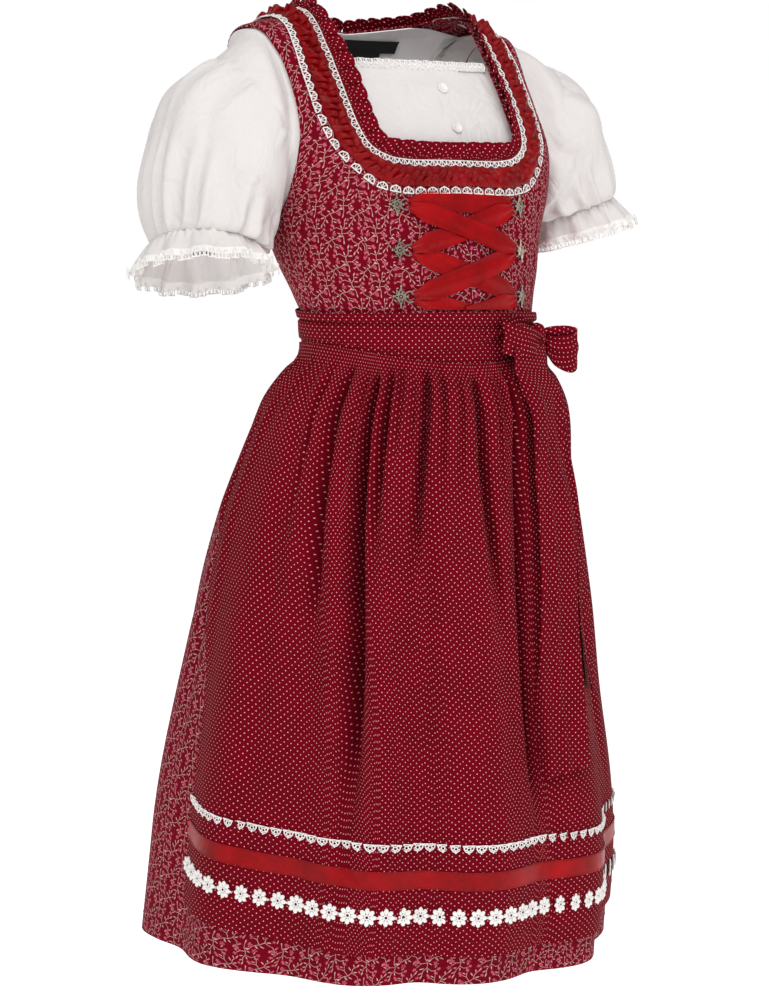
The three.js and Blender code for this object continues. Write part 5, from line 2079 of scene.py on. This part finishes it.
        def place(u: Array, v: Array, out: Array) -> Array:
            angle = 2 * math.pi * u
            layer = 1.0 + out / 1.2
            first = self.on_armhole(angle, 1.4 - self.inset, layer)
            second = self.on_armhole(angle, 4.0, layer)
            share = np.clip((v * 10 - 1) / 9, 0, 1)
            top_x, top_z, under_x, under_z, middle_y, half_depth = self.sleeve(share * 11)
            swell = out + self.gathers(angle, share, arm)
            rise_x, rise_z = (top_x - under_x) / 2, (top_z - under_z) / 2
            half = np.hypot(rise_x, rise_z)
            stretch = (half + swell) / half * np.cos(angle)
            x = (top_x + under_x) / 2 + rise_x * stretch
            z = (top_z + under_z) / 2 + rise_z * stretch
            y = middle_y - (half_depth + swell) * np.sin(angle)
            puffed = np.stack([x, y, z], -1)
            cuff = self.on_cuff(angle, np.zeros_like(u), out, arm)
            puffed = lerp(puffed, cuff, smooth((share - 0.75) / 0.25)[..., None])
            puffed = lerp(second, puffed, smooth(share * 9)[..., None])
            joined = lerp(first, puffed, np.clip(v * 10, 0, 1)[..., None])
            return self.on_arm(joined, share, arm)

        return place

    def build(self) -> None:
        """Makes the fronts, the back, the neck's lace, the buttons and the sleeves."""
        for label, side in (("left", 1), ("right", -1)):
            outer = 1.0 if side > 0 else 2.2
            cloth = Cloth(f"blouse_front_{label}_cloth", self.front(side), 44, 72, outer, 0.7)
            thing = cloth.build(self.kit.cotton, "white_cotton", f"blouse_front_{label}")
            declare(thing, Held.DRAPED)
        cloth = Cloth("blouse_back_cloth", self.back, 90, 40, 1.0, 0.8)
        thing = cloth.build(self.kit.cotton, "white_cotton", "blouse_back")
        declare(thing, Held.DRAPED)
        self.neck_lace()
        self.buttons()
        for arm in self.arms:
            self.sleeves(arm)

    def neck_lace(self) -> None:
        """Makes the lace that stands above the blouse's neckline, with its looped edge."""

        def place(u: Array, v: Array, out: Array) -> Array:
            wave = 0.5 * (1 - v) * np.sin(u * 70)
            x = lerp(-self.lace_reach, self.lace_reach, u)
            return at_x(x, self.neck + 1.5 - 0.6 * self.lace * (1 - v), out + (1 - v) + wave)

        ground = Cloth("blouse_neck_lace_ground", place, 120, 6, 2.4, 0.5)
        base = ground.build(self.kit.lace, "white_lace", "blouse_neck_lace")
        shares = (np.arange(self.neck_scallops) + 0.5) / self.neck_scallops
        middles, along, outward = along_strip(place, shares, 0.2, 2.6, 0.008)
        motif = scallop_motif(5.7, 8.6)
        row = MotifRow("blouse_neck_lace_loops", motif, middles, -along, outward, unevenness=0.05, seed=8)
        loops = row.build(self.rows_of, self.kit.lace, "white_lace")
        declare(base, Held.STRETCHED)

    def buttons(self) -> None:
        """Makes the two pearly buttons."""
        for i, down in enumerate(self.button_rows):
            pile = Pile()
            pile.add(*self.turned_button())
            pile.set_on_form(self.button_x, down, 2.2)
            name = f"blouse_button_{i + 1}"
            thing = show(name + "_pearl", pile.mesh(name, 1.0), self.kit.pearl, "pearl_button")
            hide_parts(name)

    def turned_button(self) -> tuple[Array, Faces]:
        """Button turned round its axis, with a raised rim and a hollow middle."""
        outline = np.array(self.button_section)
        count, steps = 28, len(outline)
        angles = np.linspace(0, 2 * math.pi, count, endpoint=False)
        circle = np.stack([np.cos(angles), np.sin(angles)], -1)
        rings = [np.c_[radius * circle, np.full(count, z)] for radius, z in outline[1:-1]]
        points = np.concatenate([[[0, 0, outline[0, 1]]], *rings, [[0, 0, outline[-1, 1]]]])
        faces: Faces = []
        for k in range(count):
            after = (k + 1) % count
            faces.append((0, 1 + after, 1 + k))
            base = 1 + (steps - 3) * count
            faces.append((base + k, base + after, len(points) - 1))
            for j in range(steps - 3):
                low = 1 + j * count
                faces.append((low + k, low + after, low + count + after, low + count + k))
        return points, faces

    def sleeves(self, arm: Arm) -> None:
        """Makes one sleeve, its flounce and the lace on the flounce's edge."""
        puff = Cloth(f"sleeve_{arm.label}_cloth", self.on_sleeve(arm), 180, 64, 0.0, 0.8, loop=True)
        sleeve = puff.build(self.kit.cotton, "white_cotton", f"sleeve_{arm.label}")
        declare(sleeve, Held.GATHERED)

        def hanging(start: float, end: float) -> Place:
            def place(u: Array, v: Array, out: Array) -> Array:
                here = self.on_cuff(2 * math.pi * u, lerp(start, end, v), out, arm)
                return self.on_arm(here, np.ones_like(u), arm)

            return place

        end = self.flounce + self.cuff_lace
        fall = hanging(-0.5, self.flounce + 0.3)
        frill = Cloth(f"sleeve_flounce_{arm.label}_cloth", fall, 200, 12, 0.0, 0.7, loop=True)
        flounce = frill.build(self.kit.cotton, "white_cotton", f"sleeve_flounce_{arm.label}")
        foot = hanging(self.flounce, end - 3.5)
        band = Cloth(f"cuff_lace_{arm.label}_ground", foot, 200, 5, 0.0, 0.5, loop=True)
        ground = band.build(self.kit.lace, "white_lace", f"cuff_lace_{arm.label}")
        shares = np.arange(self.cuff_scallops) / self.cuff_scallops
        middles, along, outward = along_strip(hanging(self.flounce, end), shares, 0.62, 0.0, 0.004)
        name = f"cuff_lace_{arm.label}_loops"
        motif = scallop_motif(6.4, 9.0)
        row = MotifRow(name, motif, middles, along * -arm.side, outward, unevenness=0.04, seed=11)
        loops = row.build(self.rows_of, self.kit.lace, "white_lace")
        declare(ground, Held.GATHERED)
        declare(flounce, Held.GATHERED)


# ------------------------------------------------------------------ skirt and apron
@dataclass
class Skirt:
    """Gathered floral skirt in two halves."""

    kit: Wardrobe
    rows_of: Tree
    columns: int = 216
    rows: int = 84
    outer: float = 1.2
    thick: float = 0.9
    hem_seam: float = 0.972
    under_apron: float = 5.0
    gathers: int = 24
    gather_depth: float = 3.0

    def surface(self, start: float, end: float, back: bool) -> Place:
        """Surface between two angles.

        Args:
            start: First angle.
            end: Last angle.
            back: True for the half whose gathers show.

        Returns:
            The surface, from the waist down.
        """

        def place(u: Array, v: Array, out: Array) -> Array:
            depth = lerp(-WAIST_Z + 0.15, -HEM_Z, v)
            turn = lerp(start, end, u)
            below = depth - GATHERS_TOP
            fade = smooth(below / 13) * (1 - smooth((below - 16) / 80))
            clear = smooth((np.minimum(u, 1 - u) - 0.16) / 0.08) if back else 0.0
            warped = u + 0.006 * np.sin(41 * u)
            wave = self.gather_depth * fade * clear * ripple(2 * math.pi * self.gathers * warped)
            covered = smooth((math.pi / 2 - np.abs(turn)) / 0.2) * smooth((APRON_HEM - 30 - depth) / 60)
            return on_skirt(turn, depth, out + wave - self.under_apron * covered, covered)

        return place

    def build(self) -> None:
        """Makes the front and the back."""
        quarter = math.pi / 2
        halves = {
            "skirt_front": self.surface(-quarter + SEAM_TURN, quarter - SEAM_TURN, False),
            "skirt_back": self.surface(quarter + SEAM_TURN, 3 * quarter - SEAM_TURN, True),
        }
        for name, place in halves.items():
            size = (self.columns, self.rows, self.outer, self.thick)
            cloth = Cloth(name + "_cloth", place, *size, gathered=True)
            thing = cloth.build(self.kit.floral, "floral_cotton", name)
            hem = Seam(name + "_hem_seam", place, self.hem_seam, self.outer + 0.1)
            seam = hem.build(self.rows_of, self.kit.stitch, "floral_cotton")
            declare(thing, Held.GATHERED)


@dataclass
class Apron:
    """Dotted apron: gathered panel with lace, satin ribbon and daisies, and the folded band."""

    kit: Wardrobe
    rows_of: Tree
    outer: float = 5.0
    side_rise: float = 21.0
    band_top: float = -238.0
    band_dip: float = 3.0
    band_bottom: float = -282.0
    band_rise: float = 12.0
    gathers: int = 28
    gather_depth: float = 4.0
    gather_length: float = 66.0
    hem_seam: float = 14.0
    # Height of each trim's middle above the hem, and its width.
    fan_strip: tuple[float, float] = (91, 8)
    ribbon_strip: tuple[float, float] = (64.5, 15.5)
    daisy_strip: tuple[float, float] = (34, 14)
    fan_pitch: float = 10.6
    daisy_pitch: float = 15.6

    def half_turn(self, depth: Array) -> Array:
        """Half of the apron's angle round the skirt."""
        return lerp(122, 94, smooth((depth + self.band_bottom) / 330)) * DEGREE

    def bottom_of_band(self, turn: Array) -> Array:
        """Height of the band's lower edge, which rides up at the sides."""
        return self.band_bottom + self.band_rise * np.sin(turn) ** 2

    def gathered(self, u: Array, depth: Array) -> Array:
        """How far the gathers below the band stand out."""
        below = depth + self.band_bottom
        warped = u + 0.007 * np.sin(37 * u) + 0.004 * np.sin(91 * u)
        reach = self.gather_length * (0.75 + 0.35 * np.sin(53 * u) ** 2)
        fade = smooth((below + 6) / 14) * (1 - smooth((below - 12) / reach))
        return self.gather_depth * fade * ripple(2 * math.pi * self.gathers * warped)

    def surface(self, u: Array, depth: Array, out: Array) -> Array:
        """Point of the apron; its hem rises towards the sides."""
        half = self.half_turn(depth)
        rise = self.side_rise * np.abs(2 * u - 1) ** 2.5 * smooth((depth - 400) / (APRON_HEM - 400))
        return on_skirt(lerp(-half, half, u), depth - rise, out + self.gathered(u, depth))

    def build(self) -> None:
        """Makes the panel, its trims and the band."""

        def panel(u: Array, v: Array, out: Array) -> Array:
            half = self.half_turn(np.full_like(u, -self.band_bottom))
            top = -self.bottom_of_band((2 * u - 1) * half) - 2.0
            return self.surface(u, lerp(top, APRON_HEM, v), out)

        def hem_line(u: Array, v: Array, out: Array) -> Array:
            return self.surface(u, APRON_HEM - self.hem_seam + v, out)

        hem = Seam("apron_hem_seam", hem_line, 0.5, self.outer + 0.1)
        trims = [self.upper_lace(), self.ribbon(), self.daisies()]
        trims.append(hem.build(self.rows_of, self.kit.stitch, "dotted_cotton"))
        cloth = Cloth("apron_panel_cloth", panel, 380, 96, self.outer, 0.9, gathered=True)
        thing = cloth.build(self.kit.dotted, "dotted_cotton", "apron_panel")
        declare(thing, Held.GATHERED)
        self.band()

    def strip(self, above: float, width: float) -> Place:
        """Surface of a trim whose middle is `above` the hem, with u along it and v across."""
        top = APRON_HEM - above - width / 2

        def place(u: Array, v: Array, out: Array) -> Array:
            return self.surface(u, top + width * v, out)

        return place

    def upper_lace(self) -> Thing:
        """Makes the row of fans above the ribbon."""
        place = self.strip(*self.fan_strip)
        shares = even_places(place, self.fan_pitch)
        middles, along, outward = along_strip(place, shares, 0.5, self.outer + 0.45, 0.002)
        motif = fan_motif(10.7, 8.0)
        row = MotifRow("apron_lace_upper_fans", motif, middles, -along, outward, unevenness=0.05, seed=4)
        return row.build(self.rows_of, self.kit.lace, "white_lace", "apron_lace_upper")

    def ribbon(self) -> Thing:
        """Makes the satin ribbon."""
        place = self.strip(*self.ribbon_strip)
        cloth = Cloth("apron_ribbon_satin", place, 380, 6, self.outer + 0.9, 0.6)
        thing = cloth.build(self.kit.satin, "red_satin", "apron_ribbon")
        for label, across in (("upper", 0.07), ("lower", 0.93)):
            seam = Seam(f"apron_ribbon_seam_{label}", place, across, self.outer + 1.0)
            seam.build(self.rows_of, self.kit.stitch, "red_satin")
        declare(thing, Held.LAID)
        return thing

    def daisies(self) -> Thing:
        """Makes the row of crochet daisies."""
        place = self.strip(*self.daisy_strip)
        shares = even_places(place, self.daisy_pitch)
        middles, along, outward = along_strip(place, shares, 0.5, self.outer + 0.8, 0.003)
        motif = daisy_motif()
        row = MotifRow("apron_daisy_row", motif, middles, along, outward, 1.02, unevenness=0.03, seed=6)
        return row.build(self.rows_of, self.kit.lace, "white_lace", "apron_daisy_lace")

    def band(self) -> None:
        """Makes the waistband, laid in soft level folds."""

        def place(u: Array, v: Array, out: Array) -> Array:
            turn = 2 * math.pi * u
            top = self.band_top - self.band_dip * np.sin(turn) ** 2
            z = lerp(top, self.bottom_of_band(turn), v)
            drift = 0.05 * np.sin(turn + 0.4) + 0.03 * np.sin(3 * turn)
            to_knot = wrapped(turn - 0.7)
            rising = bell(to_knot / 0.8)
            edge = 0.86 - 0.5 * rising
            wrap = 1.5 * smooth((edge - v) / 0.03)
            upper = bell((v - 0.30 - drift + 0.1 * rising) / 0.04)
            middle = bell((v - 0.7 * edge) / 0.03) * rising
            swell = 1.3 * np.sin(math.pi * np.clip(v / edge, 0, 1)) ** 0.6
            crease = swell + wrap - 2.6 * upper - 2.8 * middle - 0.8
            return on_figure(turn, FIGURE_BASE - z, out + crease)

        cloth = Cloth("apron_band_cloth", place, 216, 40, 7.0, 0.9, loop=True, gathered=True)
        thing = cloth.build(self.kit.dotted, "dotted_cotton", "apron_band")
        declare(thing, Held.FOLDED)


# ------------------------------------------------------------------ bow
def curve_through(stops: Array, share: Array) -> Array:
    """Smooth curve through its stops, even along its length.

    Args:
        stops: Points that it passes.
        share: Shares of the way along it.

    Returns:
        Points of the curve.
    """
    padded = np.vstack([2 * stops[0] - stops[1], stops, 2 * stops[-1] - stops[-2]])

    def at(t: Array) -> Array:
        scaled = np.clip(t, 0, 1) * (len(stops) - 1)
        i = np.minimum(scaled.astype(int), len(stops) - 2)
        f = (scaled - i)[..., None]
        a, b, c, d = padded[i], padded[i + 1], padded[i + 2], padded[i + 3]
        cubic = (2 * a - 5 * b + 4 * c - d) * f**2 + (3 * b - a - 3 * c + d) * f**3
        return 0.5 * (2 * b + (c - a) * f + cubic)

    return at(even_shares(at)(share))


@dataclass(frozen=True)
class Loop:
    """One loop of the bow. Its route goes by angle, distance off the band and height over its middle."""

    name: str
    width: float
    route: tuple[tuple[float, float, float], ...]


@dataclass(frozen=True)
class Tail:
    """One hanging end of the bow: depths and angles of its top and end, then its cut and place.

    `lift` is its distance off the skirt's form. `side` is the edge folded forward: -1 for the right one.
    """

    name: str
    top: float
    end: float
    start: float
    low: float
    width: float
    lift: float
    side: int


@dataclass
class Bow:
    """Bow at the wearer's left front: a knot, two loops and two tails."""

    kit: Wardrobe
    turn: float = 44.0
    level: float = 318.0
    band_out: float = 8.2
    knot_out: float = 5.7
    knot_width: float = 8.5
    knot_depth: float = 7.5
    knot_height: float = 16.0
    knot_drop: float = 2.0
    # Degrees by which the print is turned on the loops and on the tails.
    loop_bias: float = 35.0
    tail_bias: float = 6.0
    loops: tuple[Loop, ...] = (
        Loop(
            "bow_loop_front",
            26.0,
            (
                (40, 4, 3), (32, 5, 7), (24, 5, 9), (16, 6, 7),
                (13, 9, 4), (17, 13, 1), (26, 16, 0), (40, 12, -1),
            ),
        ),
        Loop(
            "bow_loop_back",
            34.0,
            (
                (48.4, 7.6, 0), (53, 20, -3), (57, 31, -6), (58, 36, -9),
                (54, 31, -12), (50, 20, -10), (48, 13, -5),
            ),
        ),
    )
    tails: tuple[Tail, ...] = (
        Tail("bow_tail_1", 266, 616, 27, 16.2, 37, 14.0, -1),
        Tail("bow_tail_2", 268, 560, 47, 42, 34, 8.3, 1),
    )

    def by_band(self, turn: Number, out: Number, rise: Number) -> Array:
        """Point by angle round the waist, distance off the band and height above its middle."""
        down = self.level - np.asarray(rise)
        return on_figure(np.asarray(turn) * DEGREE, down, self.band_out + np.asarray(out))

    def build(self) -> None:
        """Makes the knot, the loops and the tails."""
        self.knot()
        for loop in self.loops:
            self.fold(loop)
        for tail in self.tails:
            self.hang(tail)

    def knot(self) -> None:
        """Makes the knot: a wrapped band of cloth with folds that run round it."""
        centre = self.by_band(self.turn, self.knot_out, 0.0)
        turn = spun(self.turn * DEGREE)

        def place(u: Array, v: Array, out: Array) -> Array:
            height = 2 * v - 1
            angle = 2 * math.pi * u
            waist = 1 - 0.25 * bell(height / 0.5)
            end = np.sqrt(np.maximum(0.02, 1 - height**4))
            crease = 0.5 * np.cos(9 * height + 2 * np.sin(angle)) + 0.3 * np.cos(17 * height + angle)
            radius_x = self.knot_width * end * (0.8 + 0.2 * waist) + crease * end + out
            radius_y = self.knot_depth * end * (0.8 + 0.2 * waist) + crease * end + out
            z = self.knot_height * height - self.knot_drop
            return np.stack([radius_x * np.cos(angle), radius_y * np.sin(angle), z], -1) @ turn + centre

        cloth = Cloth("bow_knot_cloth", place, 48, 26, 0.0, 0.8, loop=True)
        thing = cloth.build(self.kit.dotted, "dotted_cotton", "bow_knot")
        declare(thing, Held.FOLDED)

    def fold(self, loop: Loop) -> None:
        """Makes one loop, pinched at the knot, with folds that fan out of it."""
        stops = np.array([self.by_band(*stop) for stop in loop.route])

        def place(u: Array, v: Array, out: Array) -> Array:
            here = curve_through(stops, v)
            ahead = curve_through(stops, np.minimum(v + 0.01, 1))
            ahead = ahead - curve_through(stops, np.maximum(v - 0.01, 0))
            upward = np.broadcast_to([0.0, 0.0, 1.0], ahead.shape)
            normal = unit(np.cross(ahead, upward))
            wide = loop.width * (0.45 + 0.55 * np.sin(math.pi * v) ** 0.7)
            pinch = 1 - np.sin(math.pi * v) ** 0.8
            crease = (0.5 + pinch) * np.cos(2 * math.pi * (2.2 * u + 0.2))
            crease = crease + 0.7 * np.cos(2 * math.pi * u)
            lift = ((u - 0.5) * wide)[..., None] * upward
            return here + lift + normal * (out + crease)[..., None]

        cloth = Cloth(loop.name + "_cloth", place, 24, 70, 1.1, 0.8, turned=self.loop_bias)
        thing = cloth.build(self.kit.dotted, "dotted_cotton", loop.name)
        declare(thing, Held.FOLDED)

    def hang(self, tail: Tail) -> None:
        """Makes one tail, flared below the knot and with one edge folded forward."""

        def place(u: Array, v: Array, out: Array) -> Array:
            slant = 10 * (u - 0.5) * tail.side * smooth((v - 0.8) / 0.2)
            depth = lerp(tail.top, tail.end, v) + slant
            middle = lerp(tail.start, tail.low, smooth(v)) * DEGREE
            opening = smooth(v / 0.25)
            half = tail.width * lerp(0.85, 1, opening) / 2 / SKIRT(depth)[1]
            fold = 2.5 * np.cos(2 * math.pi * u) * opening + 6 * (1 - smooth(v / 0.35))
            sharp = 3.5 * opening * bell((u - 0.5 - 0.28 * tail.side * (1 - v)) / 0.1)
            wave = 1.2 * opening * np.sin(4 * v * math.pi + 3 * u)
            return on_skirt(middle + lerp(-half, half, u), depth, out + fold + sharp + wave)

        outer = tail.lift + 1.2
        cloth = Cloth(tail.name + "_cloth", place, 36, 90, outer, 0.8, turned=self.tail_bias * tail.side)
        thing = cloth.build(self.kit.dotted, "dotted_cotton", tail.name)
        declare(thing, Held.HUNG)


# ------------------------------------------------------------------ studio
@dataclass(frozen=True)
class Lamp:
    """Soft square lamp, with its size in metres and its power in watts."""

    name: str
    place: tuple[float, float, float]
    size: float
    watts: float


@dataclass
class Studio:
    """Pale floor, soft lamps and the camera."""

    azimuth: float = -35.0
    elevation: float = 8.0
    distance: float = 3.0
    aim: tuple[float, float, float] = (0.0052, -0.0037, -0.409)
    lens: float = 126.02
    floor_z: float = -1.05
    lamps: tuple[Lamp, ...] = (
        Lamp("key", (-2.1, -2.1, 1.5), 1.0, 27.0),
        Lamp("fill", (0.5, -2.5, 1.7), 1.6, 14.0),
        Lamp("top", (-0.3, -0.9, 2.3), 1.4, 24.0),
        Lamp("back", (-0.6, 2.6, 0.6), 2.0, 6.0),
    )

    def build(self) -> None:
        """Makes the floor, the lamps, the world and the camera."""
        self.floor()
        self.world()
        for lamp in self.lamps:
            self.light(lamp)
        self.camera()

    def floor(self) -> None:
        """Makes the plain pale floor."""
        mesh = bpy.data.meshes.new("floor")
        half = 80.0
        corners = [(-half, -half), (half, -half), (half, half), (-half, half)]
        mesh.from_pydata([(x, y, self.floor_z) for x, y in corners], [], [(0, 1, 2, 3)])
        thing = bpy.data.objects.new("floor", mesh)
        bpy.context.scene.collection.objects.link(thing)
        material = bpy.data.materials.new("pale_floor")
        material.use_nodes = True
        shader = material.node_tree.nodes["Principled BSDF"]
        shader.inputs["Base Color"].default_value = (0.93, 0.93, 0.93, 1)
        shader.inputs["Roughness"].default_value = 0.9
        shader.inputs["Emission Color"].default_value = (1, 1, 1, 1)
        shader.inputs["Emission Strength"].default_value = 0.68
        mesh.materials.append(material)
        thing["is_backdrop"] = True

    def world(self) -> None:
        """Makes the white surroundings, which light the set less than they show."""
        world = bpy.data.worlds.new("studio")
        bpy.context.scene.world = world
        world.use_nodes = True
        graph = Graph(world.node_tree)
        background = world.node_tree.nodes["Background"]
        background.inputs["Color"].default_value = (1, 1, 1, 1)
        seen = graph.add("ShaderNodeLightPath").outputs["Is Camera Ray"]
        graph.join(graph.ramp(seen, 0.0, 1.0, 0.36, 1.0), background.inputs["Strength"])

    def light(self, lamp: Lamp) -> None:
        """Makes one lamp that looks at the set."""
        light = bpy.data.lights.new(lamp.name, "AREA")
        light.energy = lamp.watts
        light.size = lamp.size
        thing = bpy.data.objects.new(lamp.name, light)
        bpy.context.scene.collection.objects.link(thing)
        thing.location = lamp.place
        way = Vector(self.aim) - Vector(lamp.place)
        thing.rotation_euler = way.to_track_quat("-Z", "Y").to_euler()

    def camera(self) -> None:
        """Makes the camera."""
        a, e = self.azimuth * DEGREE, self.elevation * DEGREE
        back = Vector((math.sin(a) * math.cos(e), -math.cos(a) * math.cos(e), math.sin(e)))
        data = bpy.data.cameras.new("camera")
        data.sensor_fit = "VERTICAL"
        data.sensor_height = 36
        data.lens = self.lens
        thing = bpy.data.objects.new("camera", data)
        bpy.context.scene.collection.objects.link(thing)
        thing.location = Vector(self.aim) + back * self.distance
        thing.rotation_euler = (-back).to_track_quat("-Z", "Y").to_euler()
        bpy.context.scene.camera = thing
        bpy.context.scene.view_settings.view_transform = "Standard"


def main() -> None:
    """Builds the set and its studio."""
    logging.basicConfig(level=logging.INFO, format="%(name)s %(message)s")
    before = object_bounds()
    kit = Wardrobe()
    rows_of = motif_row_tree()
    Bodice(kit).build()
    Neckline(kit, rows_of).build()
    Lacing(kit).build()
    Blouse(kit, rows_of).build()
    Skirt(kit, rows_of).build()
    Apron(kit, rows_of).build()
    Bow(kit).build()
    Studio().build()
    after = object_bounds()
    boxes = {"cad": before, "visual": after}
    sizes = {name: [list(map(float, corner)) for corner in box] for name, box in boxes.items()}


if __name__ == "__main__":
    main()
